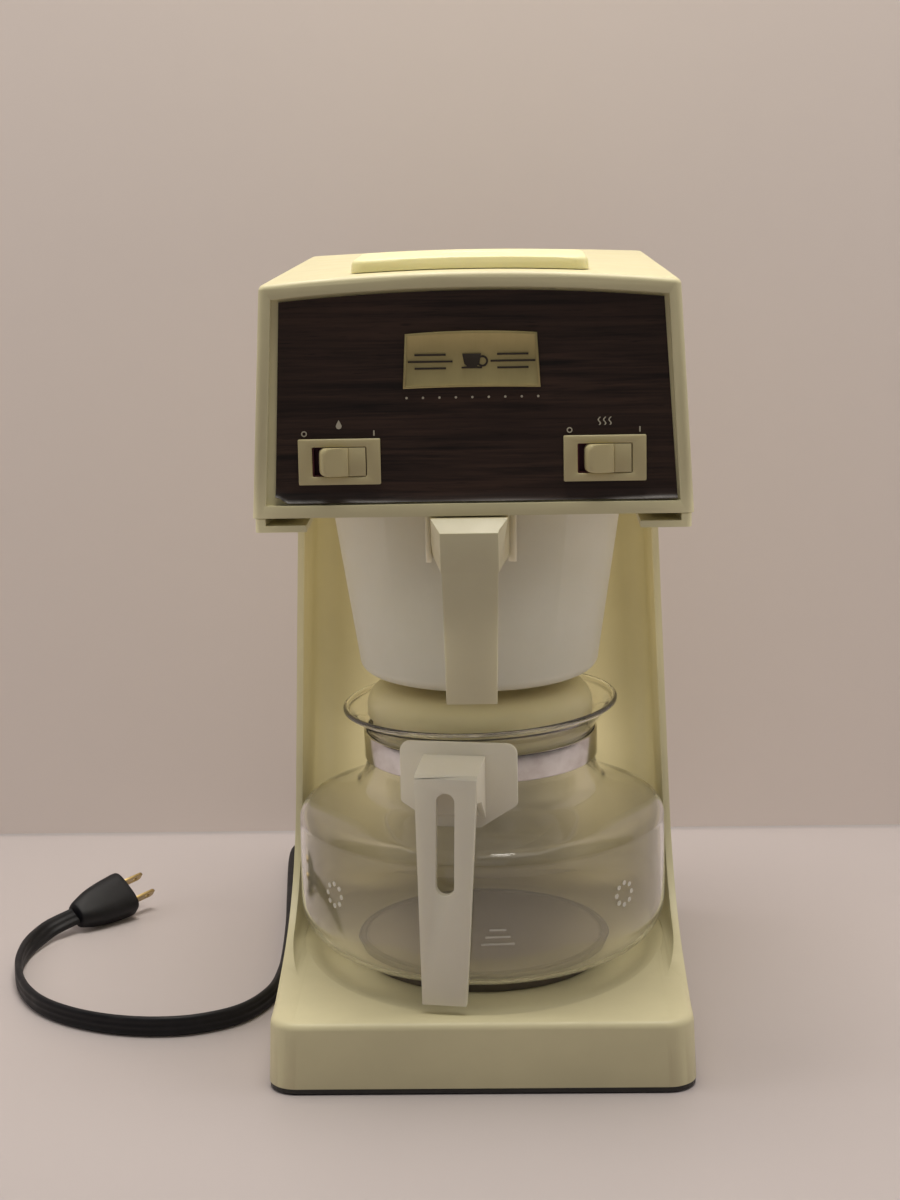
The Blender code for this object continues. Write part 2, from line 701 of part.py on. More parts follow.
def make_tank():
    outer = []
    inner = []
    for z in (300.0, 370.0):
        outer.append(rounded_quad(84.0, 80.0, 66.0, 246.0, z, 12.0, 12.0, 4))
    for z in (301.6, 380.0):
        inner.append(rounded_quad(82.4, 78.4, 67.6, 244.4, z, 10.4, 10.4, 4))
    tank = mesh_object("water_tank", loft(bmesh.new(), outer), "steel")
    boolean(tank, cutter(loft(bmesh.new(), inner)))
    boolean(tank, cutter(cylinder(0.0, AXIS_DEPTH, 290.0, 310.0, 8.0, 20)))

    element = [(48.0 + r, 296.0 + z) for r, z in arc(0.0, 0.0, 3.4, 3.4, 360, 60, 5)]
    mesh_object("tank_heater", turned(element, segments=24), "steel")
    mesh_object("tank_thermostat", cylinder(62.0, 182.0, 291.0, 299.7, 9.0, 16), "phenolic")
    fuse = [(0.8, 168.0), (2.6, 170.0), (2.6, 194.0), (0.8, 196.0)]
    mesh_object("thermal_fuse", turned_about_x(fuse, -62.0, 0.0, 296.0, 12), "aluminium")

    housing = [
        (8.6, 299.7), (13.0, 299.7), (13.0, 283.0), (6.0, 281.6), (6.0, 279.3), (4.0, 279.3), (4.0, 284.0), (8.6, 284.0),
    ]
    mesh_object("valve_housing", turned(housing, segments=16), "brass")
    seat = [(4.3, 286.2), (8.2, 286.2), (8.2, 284.3), (4.3, 284.3)]
    mesh_object("valve_seat", turned(seat, segments=16), "black_rubber")
    disc = [(2.3, 292.6), (8.2, 292.2), (8.2, 291.7), (2.3, 292.1)]
    mesh_object("bimetal_disc", turned(disc, segments=16), "brass")
    stem = [(0.0, 286.5), (6.2, 286.5), (6.2, 287.7), (1.8, 288.4), (1.8, 296.5), (0.0, 297.0)]
    mesh_object("valve_stem", turned(stem, segments=14), "steel", world(0.0, AXIS_DEPTH, 286.5))

    spreader = [
        (0.0, 276.6), (29.4, 276.6), (29.4, 278.9), (36.0, 278.9), (36.0, 277.7), (30.4, 277.7), (30.4, 275.4), (0.0, 275.4),
    ]
    shower = mesh_object("drip_spreader", turned(spreader, segments=24), "white_plastic")
    for k in range(6):
        a = math.radians(60 * k)
        hole = cylinder(19.0 * math.cos(a), AXIS_DEPTH + 19.0 * math.sin(a), 270.0, 282.0, 1.6, 8)
        boolean(shower, cutter(hole))


def make_reservoir_lid():
    """A shallow cap that follows the crown of the head, with a skirt that drops into the fill mouth."""
    lid = []
    under = [(0.4, 29.0), (0.4, 16.0), (0.4, 0.0)]
    over = [(4.9, 0.4), (6.0, 1.2), (6.3, 2.6), (6.3, 16.0), (6.3, 29.0)]
    for rise, inset in under + over:
        half = 54.0 - inset
        corner = max(1.0, 6.0 - inset)
        plan = rounded_quad(half, half, 36.0 + inset, 104.0 - inset, 0.0, corner, corner, 3, 6)
        lid.append([(x, d, HEAD_TOP_Z + crown(x, d) + rise) for x, d, _ in plan])
    body = mesh_object("reservoir_lid", loft(bmesh.new(), lid), "lid_plastic", world(0.0, 70.0, HEAD_TOP_Z))
    skirt = []
    for z in (374.0, 384.6):
        skirt.append(rounded_quad(48.6, 48.6, 43.4, 96.6, z, 4.0, 4.0, 3))
    boolean(body, cutter(loft(bmesh.new(), skirt)), "UNION")
    hollow = [[(x * 0.95, 70.0 + (d - 70.0) * 0.93, z) for x, d, _ in skirt[0]] for z in (370.0, 386.4)]
    boolean(body, cutter(loft(bmesh.new(), hollow)))


# ---------------------------------------------------------------- basket


def basket_radius(z):
    return BASKET_R_BOTTOM + BASKET_SLOPE * (z - BASKET_BOTTOM_Z - 6.0)


def make_basket():
    r_low = basket_radius(BASKET_BOTTOM_Z + 6.0)
    profile = [(5.0, BASKET_BOTTOM_Z)]
    profile += arc(r_low - 7.0, BASKET_BOTTOM_Z + 6.5, 7.0, 6.5, -90, 0, 4)
    profile += [(basket_radius(FLANGE_Z), FLANGE_Z), (basket_radius(FLANGE_Z), FLANGE_TOP_Z)]
    profile += [(basket_radius(FLANGE_Z) - 2.0, FLANGE_TOP_Z)]
    profile += arc(r_low - 7.0, BASKET_BOTTOM_Z + 7.0, 5.2, 5.0, 0, -90, 3)
    profile += [(5.0, BASKET_BOTTOM_Z + 2.0)]
    basket = mesh_object("basket", turned(profile, segments=32), "frosted_plastic", world(0.0, AXIS_DEPTH, FLANGE_Z))
    half = RAIL_HALF - 0.6
    flange = box(-half, half, 64.0, 190.0, FLANGE_Z, FLANGE_TOP_Z)
    wings = cutter(flange)
    boolean(wings, cutter(cylinder(0.0, AXIS_DEPTH, 260.0, 290.0, basket_radius(FLANGE_Z) - 1.0, 48)))
    boolean(basket, wings, "UNION")
    return basket


def pull_arm_plan(z, flare):
    """The arm's plan: it widens by flare just behind the pull's face, then slowly towards the basket."""
    right = [(13.2, 5.0), (13.2 + flare, 12.0), (19.0, 56.0)]
    return [(PULL_X + x, d, z) for x, d in right] + [(PULL_X - x, d, z) for x, d in reversed(right)]


def pull_face(half_low, half_high, d0, d1, z0, z1):
    """A slab as wide as the hanging strap, or as the hollow behind it."""
    loops = []
    for z, half in ((z0, half_low), (z1, half_high)):
        loops.append([(PULL_X + x, d, z) for x, d in ((-half, d0), (half, d0), (half, d1), (-half, d1))])
    return loft(bmesh.new(), loops)


def make_basket_handle():
    """A hollow-backed pull that hangs in front of the basket from an arm under the head."""
    handle = mesh_object(
        "basket_handle", pull_face(11.6, 13.2, 5.0, 15.0, PULL_LOW_Z, PULL_CORNER_Z), "cream_plastic",
        world(PULL_X, 5.0, PULL_CORNER_Z),
    )
    arm = loft(bmesh.new(), [pull_arm_plan(250.0, 0.6), pull_arm_plan(PULL_TOP_Z, 4.3)])
    boolean(handle, cutter(arm), "UNION")
    pad = box(PULL_X - 21.4, PULL_X + 21.4, 46.0, 58.0, 247.0, PULL_TOP_Z - 3.0)
    boolean(handle, cutter(pad), "UNION")
    slope = [(-5.0, 260.0), (26.0, 284.8), (-5.0, 284.8)]
    boolean(handle, cutter(prism_x(slope, -40.0, 40.0)))
    under_arm = [(PULL_X + x, d) for x, d in ((-11.4, 7.2), (11.4, 7.2), (16.4, 45.0), (-16.4, 45.0))]
    boolean(handle, cutter(loft(bmesh.new(), [[(x, d, z) for x, d in under_arm] for z in (240.0, PULL_CORNER_Z - 2.6)])))
    boolean(handle, cutter(pull_face(9.8, 11.4, 7.4, 30.0, PULL_LOW_Z - 2.0, PULL_CORNER_Z - 2.6)))
    clear = [(0.0, 170.0), (basket_radius(170.0) + GAP, 170.0), (basket_radius(285.0) + GAP, 285.0), (0.0, 285.0)]
    boolean(handle, cutter(turned(clear, segments=96)))
    boolean(handle, cutter(box(-60.0, 60.0, 63.0, 80.0, FLANGE_Z - GAP, 280.0)))
    return handle


# ---------------------------------------------------------------- carafe


def carafe_profile(inset, steps):
    """The bowl's profile from its flat bottom to its neck: a round heel, an upright wall, a tight shoulder."""
    heel = arc(HEEL_R, CARAFE_Z + HEEL_H, CARAFE_R - HEEL_R - inset, HEEL_H - inset, -90, 0, steps)
    shoulder = arc(SHOULDER_R, SHOULDER_Z, SHOULDER_CORNER - inset, SHOULDER_CORNER - inset, 0, 68, steps // 2)
    slope = [(77.0, 113.6), (67.5, 117.6), (62.8, 120.8), (60.2, 125.2), (58.7, 129.5), (NECK_R, 133.0)]
    return heel + shoulder + [(r - 0.6 * inset, z - 0.8 * inset) for r, z in slope[:3]] + [
        (r - inset, z - 0.3 * inset) for r, z in slope[3:]
    ]


def rim_tilt(bm):
    """Leans the flared rim a little, lower on the left, as blown glass often is."""
    for vert in bm.verts:
        z = vert.co.z / MM
        if z > COLLAR_TOP_Z:
            share = smooth_step((z - COLLAR_TOP_Z - 1.0) / (RIM_Z - COLLAR_TOP_Z - 1.0))
            vert.co.z += vert.co.x * math.tan(RIM_TILT) * share
    return bm


def make_carafe_glass():
    thick = 1.9
    outer = carafe_profile(0.0, 6) + [(NECK_R, 147.5), (60.2, 151.5), (64.4, 155.8)]
    rim = [(RIM_R, 159.6), (RIM_R + 0.2, 160.6), (RIM_R - 0.9, RIM_Z + 0.4), (RIM_R - 2.3, RIM_Z - 0.2)]
    inner = [(62.6, 156.9), (58.4, 152.4), (NECK_R - thick, 148.0)] + list(reversed(carafe_profile(thick, 6)))
    profile = [(0.0, CARAFE_Z)] + outer + rim + inner + [(0.0, CARAFE_Z + thick)]
    bm = rim_tilt(turned(profile, segments=32))
    return mesh_object("carafe_glass", bm, "glass", world(0.0, AXIS_DEPTH, CARAFE_Z), 50.0)


def make_carafe_collar():
    inner = NECK_R + GAP
    band = [
        (inner, COLLAR_TOP_Z), (inner + 1.1, COLLAR_TOP_Z), (inner + 1.1, COLLAR_BOTTOM_Z + 4.0),
        (inner + 1.1, COLLAR_BOTTOM_Z + 3.4), (inner, COLLAR_BOTTOM_Z + 3.4),
    ]
    collar = mesh_object("carafe_collar", turned(band, segments=32), "chrome", world(0.0, AXIS_DEPTH, COLLAR_BOTTOM_Z))
    hole = cutter(radial_cylinder(1.9, 50.0, 66.0, 139.5))
    boolean(collar, hole)


def carafe_point(x, reach, z):
    """A point in the handle's own frame: x across it, reach outwards from the carafe's axis."""
    c, s = math.cos(CARAFE_TURN), math.sin(CARAFE_TURN)
    return (x * c + reach * s, AXIS_DEPTH + x * s - reach * c, z)


def radial_cylinder(radius, reach0, reach1, z, segments=10):
    loops = []
    for reach in (reach0, reach1):
        loops.append([
            carafe_point(radius * math.cos(2 * math.pi * k / segments), reach, z + radius * math.sin(2 * math.pi * k / segments))
            for k in range(segments)
        ])
    return loft(bmesh.new(), loops)


def radial_slab(outline, reach0, reach1):
    """An outline in (x, z) drawn out along the handle's own outward direction."""
    return loft(bmesh.new(), [[carafe_point(x, reach, z) for x, z in outline] for reach in (reach0, reach1)])


def side_slab(outline, half):
    """An outline in (reach, z) drawn across the handle, from -half to +half."""
    return loft(bmesh.new(), [[carafe_point(x, reach, z) for reach, z in outline] for x in (-half, half)])


def make_carafe_handle():
    shield = [
        (-26.6, 155.0), (-23.1, 158.6), (27.0, 158.6), (30.5, 155.0), (30.5, 128.5), (14.5, 117.0), (10.5, 116.4),
        (-6.5, 116.4), (-10.5, 117.0), (-26.6, 128.5),
    ]
    handle = mesh_object("carafe_handle", radial_slab(shield, 71.8, 74.4), "white_plastic", world(0.0, AXIS_DEPTH, COLLAR_BOTTOM_Z))
    block = side_slab([(59.4, 133.6), (73.0, 133.6), (73.0, 147.0), (62.0, 147.0), (59.4, 145.4)], 12.0)
    boolean(handle, cutter(block), "UNION")
    arm = side_slab([(73.0, 152.5), (96.0, 148.6), (98.2, 146.6), (98.2, 136.0), (86.0, 133.0), (73.0, 120.0)], 15.0)
    boolean(handle, cutter(arm), "UNION")
    strap_loops = []
    for z, half, reach in ((39.8, 10.6, 111.8), (147.0, 15.0, 98.2)):
        strap_loops.append([
            carafe_point(-half, reach, z), carafe_point(half, reach, z),
            carafe_point(half, reach - 4.2, z), carafe_point(-half, reach - 4.2, z),
        ])
    boolean(handle, cutter(loft(bmesh.new(), strap_loops)), "UNION")
    under = side_slab([(76.0, 148.6), (94.0, 145.6), (95.4, 142.0), (95.4, 100.0), (76.0, 100.0)], 12.4)
    boolean(handle, cutter(under))
    slot = []
    slot += [(x, z) for x, z in arc(0.0, 136.0, 4.5, 4.5, 0, 180, 6)]
    slot += [(x, z) for x, z in arc(0.0, 96.3, 4.5, 4.5, 180, 360, 6)]
    boolean(handle, cutter(radial_slab(slot, 90.0, 120.0)))
    clear = [(0.0, 100.0), (NECK_R + GAP + 1.1 + GAP, 100.0), (NECK_R + GAP + 1.1 + GAP, 150.0), (0.0, 150.0)]
    boolean(handle, cutter(turned(clear, segments=96)))
    boolean(handle, cutter(radial_cylinder(1.9, 50.0, 80.0, 139.5)))
    return handle


def make_collar_screw():
    loops = []
    for radius, reach in ((1.5, NECK_R + GAP + 0.4), (1.5, 76.1), (3.2, 76.1), (2.8, 77.3), (1.0, 77.7)):
        loops.append([
            carafe_point(radius * math.cos(2 * math.pi * k / 12), reach, 139.5 + radius * math.sin(2 * math.pi * k / 12))
            for k in range(12)
        ])
    mesh_object("collar_screw", loft(bmesh.new(), loops), "steel", world(0.0, AXIS_DEPTH, COLLAR_BOTTOM_Z))


def make_carafe_lid():
    """A domed lid with a brew-through hole, whose skirt drops into the neck."""
    profile = [(5.5, 168.6), (13.6, 169.0), (15.4, 171.0), (44.0, 171.6)]
    profile += arc(46.0, 160.0, 11.4, 11.2, 75, 0, 3)
    profile += [(57.2, 155.2), (54.8, 152.4), (54.8, 142.0), (53.0, 142.0), (53.0, 153.4)]
    profile += [(54.6, 158.0), (52.0, 166.0), (44.0, 169.0), (17.0, 168.4), (5.5, 166.8)]
    mesh_object("carafe_lid", turned(profile, segments=32), "white_plastic", world(0.0, AXIS_DEPTH, 155.0))


# ---------------------------------------------------------------- cord and wiring


CORD_ROUTE = [
    (EXIT_X, 291.3, EXIT_Z), (EXIT_X, 303.0, 15.2), (EXIT_X, 318.0, 11.0), (-38.6, 332.0, 7.0),
    (-42.5, 350.0, CORD_REST_Z), (-55.0, 369.0, CORD_REST_Z), (-79.0, 378.5, CORD_REST_Z),
    (-103.0, 370.0, CORD_REST_Z), (-118.0, 350.0, CORD_REST_Z), (-121.0, 328.0, CORD_REST_Z),
    (-116.0, 262.0, CORD_REST_Z), (-112.0, 215.0, CORD_REST_Z), (-109.3, 170.0, CORD_REST_Z),
    (-108.8, 140.0, CORD_REST_Z), (-112.0, 112.0, CORD_REST_Z), (-124.0, 88.0, CORD_REST_Z),
    (-144.0, 75.0, CORD_REST_Z), (-166.0, 71.5, CORD_REST_Z), (-190.0, 75.5, CORD_REST_Z),
    (-213.0, 86.5, CORD_REST_Z), (-232.0, 103.5, CORD_REST_Z), (-246.0, 128.0, CORD_REST_Z),
    (-254.0, 157.0, CORD_REST_Z), (-255.0, 184.0, CORD_REST_Z), (-249.0, 207.4, 6.6), (-243.5, 214.5, 8.1), (-236.0, 223.0, 9.4),
]
PLUG_START = Vector((-236.0, 223.0, 9.4))
PLUG_AXIS = Vector((0.66, 0.745, 0.1)).normalized()
PLUG_ROLL = math.radians(40)


def plug_frame():
    flat = Vector((PLUG_AXIS.y, -PLUG_AXIS.x, 0.0)).normalized()
    up = flat.cross(PLUG_AXIS)
    across = flat * math.cos(PLUG_ROLL) - up * math.sin(PLUG_ROLL)
    return across, across.cross(PLUG_AXIS)


def plug_point(along, wide, thick):
    across, normal = plug_frame()
    return tuple(PLUG_START + PLUG_AXIS * along + across * wide + normal * thick)


def make_plug():
    stations = [
        (0.7, 6.2, 5.0), (6.0, 8.6, 6.6), (13.0, 10.6, 7.6), (20.0, 12.0, 8.3), (33.0, 13.0, 8.8), (37.0, 12.2, 8.2),
    ]
    loops = []
    for along, wide, thick in stations:
        loop = []
        for k in range(16):
            a = 2 * math.pi * k / 16
            cx = math.copysign(abs(math.cos(a)) ** 0.8, math.cos(a))
            cy = math.copysign(abs(math.sin(a)) ** 0.8, math.sin(a))
            loop.append(plug_point(along, wide * cx, thick * cy))
        loops.append(loop)
    mesh_object("plug_body", loft(bmesh.new(), loops), "black_rubber")
    for name, offset in (("plug_blade_left", -6.35), ("plug_blade_right", 6.35)):
        half_t, half_w = 0.75, 3.15
        loops = []
        for along, shrink in ((37.3, 1.0), (52.0, 1.0), (53.6, 0.7)):
            loops.append([
                plug_point(along, offset - half_t, -half_w * shrink), plug_point(along, offset + half_t, -half_w * shrink),
                plug_point(along, offset + half_t, half_w * shrink), plug_point(along, offset - half_t, half_w * shrink),
            ])
        blade = mesh_object(name, loft(bmesh.new(), loops), "brass")
        eye = []
        for wide in (offset - 3.0, offset + 3.0):
            eye.append([
                plug_point(48.5 + 1.5 * math.cos(2 * math.pi * k / 10), wide, 1.5 * math.sin(2 * math.pi * k / 10))
                for k in range(10)
            ])
        boolean(blade, cutter(loft(bmesh.new(), eye)))


def make_cord():
    profile = [(9.4, 252.2), (9.4, 254.6), (7.0, 254.6), (7.0, 257.4), (9.0, 257.4), (8.6, 261.0), (6.4, 288.4), (5.4, 290.2)]
    mesh_object("strain_relief", turned_about_x(profile, EXIT_X, 0.0, EXIT_Z, 16), "black_rubber")
    route = smooth_route(CORD_ROUTE, 20.0)
    tube("cord", route, CORD_D, "black_rubber")
    make_plug()


def make_wiring():
    left = [(-34.0, 249.0, 16.0), (-34.0, 240.0, 18.0), (-40.0, 236.0, 34.0), (-46.0, 236.0, 80.0), (-48.0, 236.0, 160.0),
            (-48.0, 236.0, 240.0), (-50.0, 238.0, 272.0), (-58.0, 236.0, 283.0), (-78.0, 214.0, 287.0), (-84.0, 160.0, 288.0),
            (-84.0, 100.0, 288.0), (-76.0, 66.0, 292.0), (-62.0, 54.0, 297.0)]
    right = [(-30.0, 249.0, 13.0), (-24.0, 240.0, 16.0), (10.0, 236.0, 36.0), (40.0, 236.0, 80.0), (48.0, 236.0, 160.0),
             (48.0, 236.0, 240.0), (50.0, 238.0, 272.0), (58.0, 236.0, 283.0), (78.0, 214.0, 287.0), (84.0, 160.0, 288.0),
             (84.0, 100.0, 288.0), (76.0, 66.0, 292.0), (62.0, 54.0, 297.0)]
    lead = [(40.0, 236.0, 60.0), (30.0, 239.0, 30.0), (10.0, 236.0, 13.0), (4.0, 222.0, 9.5), (4.0, 200.0, 10.0),
            (16.0, 176.0, 11.0), (34.0, 160.0, 14.0)]
    for name, points in (("line_wire", left), ("neutral_wire", right), ("plate_lead", lead)):
        tube(name, smooth_route(points, 24.0), 2.4, "wire_sleeve", 1)


clear_scene()
MATERIALS = make_materials()
make_lower_housing()
make_bottom_plate()
make_feet()
make_base_screws()
make_rear_cover()
make_cover_screws()
make_warming_plate()
make_head_housing()
make_head_floor()
make_head_screws()
make_front_panel()
make_switch("brew", -1)
make_switch("warmer", 1)
make_tank()
make_reservoir_lid()
make_basket()
make_basket_handle()
make_carafe_glass()
make_carafe_collar()
make_carafe_handle()
make_collar_screw()
make_carafe_lid()
make_cord()
make_wiring()
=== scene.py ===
"""The looks of the drip coffee maker: detailed shells, glass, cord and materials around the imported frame.

Lengths are in millimetres and become metres in world(). x is to the right, "depth" runs backwards
from the front edge of the base, and z is up from the surface the machine stands on.
"""

import json
import math

import bmesh
import bpy
from mathutils import Matrix, Vector

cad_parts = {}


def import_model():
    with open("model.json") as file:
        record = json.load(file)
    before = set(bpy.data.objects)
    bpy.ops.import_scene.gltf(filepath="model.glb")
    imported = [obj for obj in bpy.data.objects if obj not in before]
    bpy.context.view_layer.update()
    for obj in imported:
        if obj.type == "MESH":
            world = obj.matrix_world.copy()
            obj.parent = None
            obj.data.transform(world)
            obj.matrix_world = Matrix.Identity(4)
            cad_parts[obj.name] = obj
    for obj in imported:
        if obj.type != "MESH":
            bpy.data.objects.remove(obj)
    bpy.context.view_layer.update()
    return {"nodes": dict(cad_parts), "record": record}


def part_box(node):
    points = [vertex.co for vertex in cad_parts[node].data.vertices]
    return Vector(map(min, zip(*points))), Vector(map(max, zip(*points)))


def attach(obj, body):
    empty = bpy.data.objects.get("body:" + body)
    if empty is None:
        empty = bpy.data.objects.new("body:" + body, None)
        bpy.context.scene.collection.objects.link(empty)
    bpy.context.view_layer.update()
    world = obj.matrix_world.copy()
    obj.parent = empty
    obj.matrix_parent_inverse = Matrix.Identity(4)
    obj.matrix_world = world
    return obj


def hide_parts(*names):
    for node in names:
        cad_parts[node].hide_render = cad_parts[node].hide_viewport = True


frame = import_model()

MM = 0.001
FRONT_Y = Vector(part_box("lower_housing")[0]).y / MM  # the base's front edge, where depth is 0


def world(x, depth, z):
    return Vector((x, depth + FRONT_Y, z)) * MM


# ---- driving dimensions

# base and column
BASE_HALF = 101.9  # half the width at the floor; it narrows by SIDE_TAPER a millimetre of height
SIDE_TAPER = 0.0406
FRONT_RAKE = 0.035
BODY_BACK = 257.7
BODY_TOP_Z = 267.7
BASE_LOW_Z = 3.1
BASE_CORNER_R = 14
BACK_CORNER_R = 3
BASE_EDGE_R = 3.6
DECK_Z = 35
DECK_LIP = 0.2  # how far the base's edge stands above the deck
WALL = 2.8
SIDE_WALL = 3.4
EDGE_DEPTH = 138  # the column's front edge
BAY_BACK = 222
BAY_FILLET = 10
HOLLOW_BACK = 221
COLUMN_NEAR = 225  # the column's hollow, which runs out through the open back
COLUMN_FAR = 280
DISH_Z = 27
DISH_R = 113
DISH_FLAT_R = 70
DISH_HALF = 93  # half the dish's width; its depth is set by DISH_R
AXIS_DEPTH = 122.6  # the upright axis of plate, carafe and basket
PLATE_HOLE_R = 58
AHEAD = -30  # a depth in front of the housing, for cutters
FAR_ABOVE = 330
BEYOND = 140  # past either side

# head
HEAD_Z = 274.5
HEAD_TOP_Z = 379.2
HEAD_FRONT = 14
HEAD_LEAN = 4
HEAD_BACK = 256
HEAD_HALF_BOTTOM = 100
HEAD_HALF_TOP = 94.2
HEAD_BACK_TAPER = 2.8
HEAD_WALL = 2.6
HEAD_EDGE_R = 2.6
HEAD_CORNER_R = 3
CROWN_RISE = 4.8
LEAN = math.atan2(HEAD_LEAN, HEAD_TOP_Z - HEAD_Z)
PANEL_RECESS = 4
PANEL_T = 3  # how far behind the head's face the panel lies
OPENING_BOW = 4.4
CURL_SHARE = 0.07  # the part of the panel's height over which its lower edge curls forward
CURL_REACH = 2.2
PRINT_T = 2.75  # how far behind the head's face the panel's printed signs stand
PRINT_THICK = 0.3
RING_POINTS = 20
MOUTH_HALF = 50  # the reservoir's mouth
MOUTH_DEPTHS = (42, 98)
LID_HALF = 54
LID_FRONT = 36
LID_BACK = 104
BOSS_X = 84
BOSS_DEPTH = 240
SWITCH_X = 59.9
SWITCH_S = 25.2
ROCKER_PIVOT_T = 3.4
ROCKER_HALF = 6.4
NOSE_R = 2.6

# basket
BASKET_Z = 178.6
BASKET_TOP_Z = 274
WING_Z = 271.3
PULL_X = -1.7
PULL_LOW_Z = 188.8
PULL_CORNER_Z = 268  # where the pull's face turns back into its sloping top
PULL_TOP_Z = 273.6
ARM_LOW_Z = 250

# carafe
CARAFE_Z = 35.7
CARAFE_R = 94.3
GLASS_WALL = 1.9
WALL_STEPS = 28  # spans round the heel, and round the shoulder
HEEL_R = 70
HEEL_H = 24
SHOULDER_R = 84.8
SHOULDER_Z = 101
SHOULDER_CORNER = 9
MARK_Z = 78
NECK_R = 58.2
RIM_R = 69.8
RIM_Z = 161
RIM_TILT = math.radians(1.7)
COLLAR_TOP_Z = 147
SCREW_Z = 139.5
SCREW_HOLE_R = 1.9
CARAFE_TURN = math.radians(-9)  # the handle points a little to the left
GLASS_HAZE_AND_SHEEN = 0.038  # the share of the glass's look that is a dull diffuse film: a faint haze, and painted sheen that stands in for the room's reflections
ETCHED_CLEAR = 0.60  # the share of light that goes straight through the frosted signs

# camera: degrees, millimetres of lens, and (x, depth, z)
CAMERA_YAW = -1.704
CAMERA_PITCH = 11.898
CAMERA_ROLL = -1.122
CAMERA_LENS = 65.89
CAMERA_PLACE = (18.05, -965.5, 442.2)

# stage
STAGE_REACH = 3200
WALL_DEPTH = 403
WALL_GAP = 1.2  # the wall stops just short of the floor
WALL_TOP = 2600
FLOOR_TONE = (0.535, 0.485, 0.48)
WALL_TONE = (0.72, 0.645, 0.61)

# lamps: name, place and target in metres, (width, height), watts and colour
WARM = (1, 0.95, 0.87)
PLAIN = (1, 0.95, 0.92)
DEEP = (1, 0.89, 0.74)
ROOM_LAMPS = [
    ("overhead", (-0.02, -0.05, 1.5), (0, 0, 0.2), (0.8, 0.5), 14.2, WARM),
    ("ceiling", (0, -0.4, 2.4), (0, -0.2, 0), (2.4, 1.6), 12, WARM),
    ("front_fill", (-0.2, -2.2, 1.2), (0, 0, 0.2), (1.8, 1.4), 2.4, PLAIN),
    ("side_fill", (1.8, -0.6, 1), (0, 0, 0.15), (1.2, 1.2), 0.3, PLAIN),
]
PAIRED_LAMPS = [  # as they stand on the right; each has a twin on the left
    ("wall_wash", (1, -0.15, 0.6), (0.25, 0.27, 0.5), (0.4, 0.9), 2.3, PLAIN),
    ("bay_fill", (0.135, -0.10, 0.17), (-0.03, 0.10, 0.17), (0.10, 0.22), 0.022, WARM),
    ("brow", (0.045, -0.124, 0.215), (0.01, -0.10, 0.15), (0.04, 0.03), 0.006, WARM),
    ("sheet_side", (0.077, 0.02, 0.19), (0.2, 0.02, 0.19), (0.11, 0.14), 0.009, DEEP),
]
BAY_LAMPS = [  # weak sheets of light inside the bay, where the room's light hardly reaches
    ("sheet_low", (0, 0.066, 0.085), (0, 0.2, 0.085), (0.15, 0.08), 0.036, DEEP),
    ("sheet_down", (0, 0, 0.125), (0, 0, 0), (0.12, 0.12), 0.024, DEEP),
    ("sheet_back", (0, 0.070, 0.17), (0, 0.2, 0.17), (0.14, 0.20), 0.042, DEEP),
]


# ---- mesh helpers


def placed(name, data):
    """A new object around the data, in the scene."""
    obj = bpy.data.objects.new(name, data)
    bpy.context.scene.collection.objects.link(obj)
    return obj


def mesh_from(name, bm):
    mesh = bpy.data.meshes.new(name)
    bm.to_mesh(mesh)
    bm.free()
    return mesh


def solid(name, bm):
    """An object from a mesh, with its doubles merged and its faces turned outwards."""
    bmesh.ops.remove_doubles(bm, verts=bm.verts, dist=1e-6)
    bmesh.ops.recalc_face_normals(bm, faces=bm.faces)
    return placed(name, mesh_from(name, bm))


def apply_modifiers(obj):
    depsgraph = bpy.context.evaluated_depsgraph_get()
    mesh = bpy.data.meshes.new_from_object(obj.evaluated_get(depsgraph))
    old = obj.data
    obj.modifiers.clear()
    obj.data = mesh
    bpy.data.meshes.remove(old)
    return obj


def cut(obj, tool, operation="DIFFERENCE"):
    """Cuts a shape out of an object, or joins it on, and discards the tool."""
    if not isinstance(tool, bpy.types.Object):
        tool = solid("tool", tool)
    mod = obj.modifiers.new("cut", "BOOLEAN")
    mod.operation = operation
    mod.solver = "EXACT"
    mod.object = tool
    apply_modifiers(obj)
    bpy.data.objects.remove(tool, do_unlink=True)
    return obj


def join(obj, tool):
    return cut(obj, tool, "UNION")


def soften(obj, width, segments=2, angle=28):
    """Rounds the sharp edges by width millimetres."""
    bm = bmesh.new()
    bm.from_mesh(obj.data)
    bmesh.ops.remove_doubles(bm, verts=bm.verts, dist=2e-5)
    bmesh.ops.dissolve_limit(bm, angle_limit=math.radians(0.4), verts=bm.verts, edges=bm.edges)
    bm.to_mesh(obj.data)
    bm.free()
    mod = obj.modifiers.new("soft", "BEVEL")
    mod.width = width * MM
    mod.segments = segments
    mod.limit_method = "ANGLE"
    mod.angle_limit = math.radians(angle)
    mod.miter_outer = "MITER_ARC"
    mod.use_clamp_overlap = True
    mod.loop_slide = True
    return apply_modifiers(obj)


def shade(obj, angle=32):
    obj.data.shade_smooth()
    obj.data.set_sharp_from_angle(angle=math.radians(angle))
    return obj


def finish(obj, material, body, replaces=(), angle=32):
    """Shades a piece, gives it its material and ties it to its body and to the CAD nodes it stands for."""
    obj.data.materials.clear()
    obj.data.materials.append(MATERIALS[material])
    if obj.type == "MESH":
        shade(obj, angle)
    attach(obj, body)
    if replaces:
        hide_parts(*replaces)
    return obj


def copy_of(node, name):
    """A new object with the same mesh as a CAD node, to be rounded and detailed."""
    source = frame["nodes"][node]
    obj = placed(name, source.data.copy())
    obj.data.transform(source.matrix_world)
    return obj


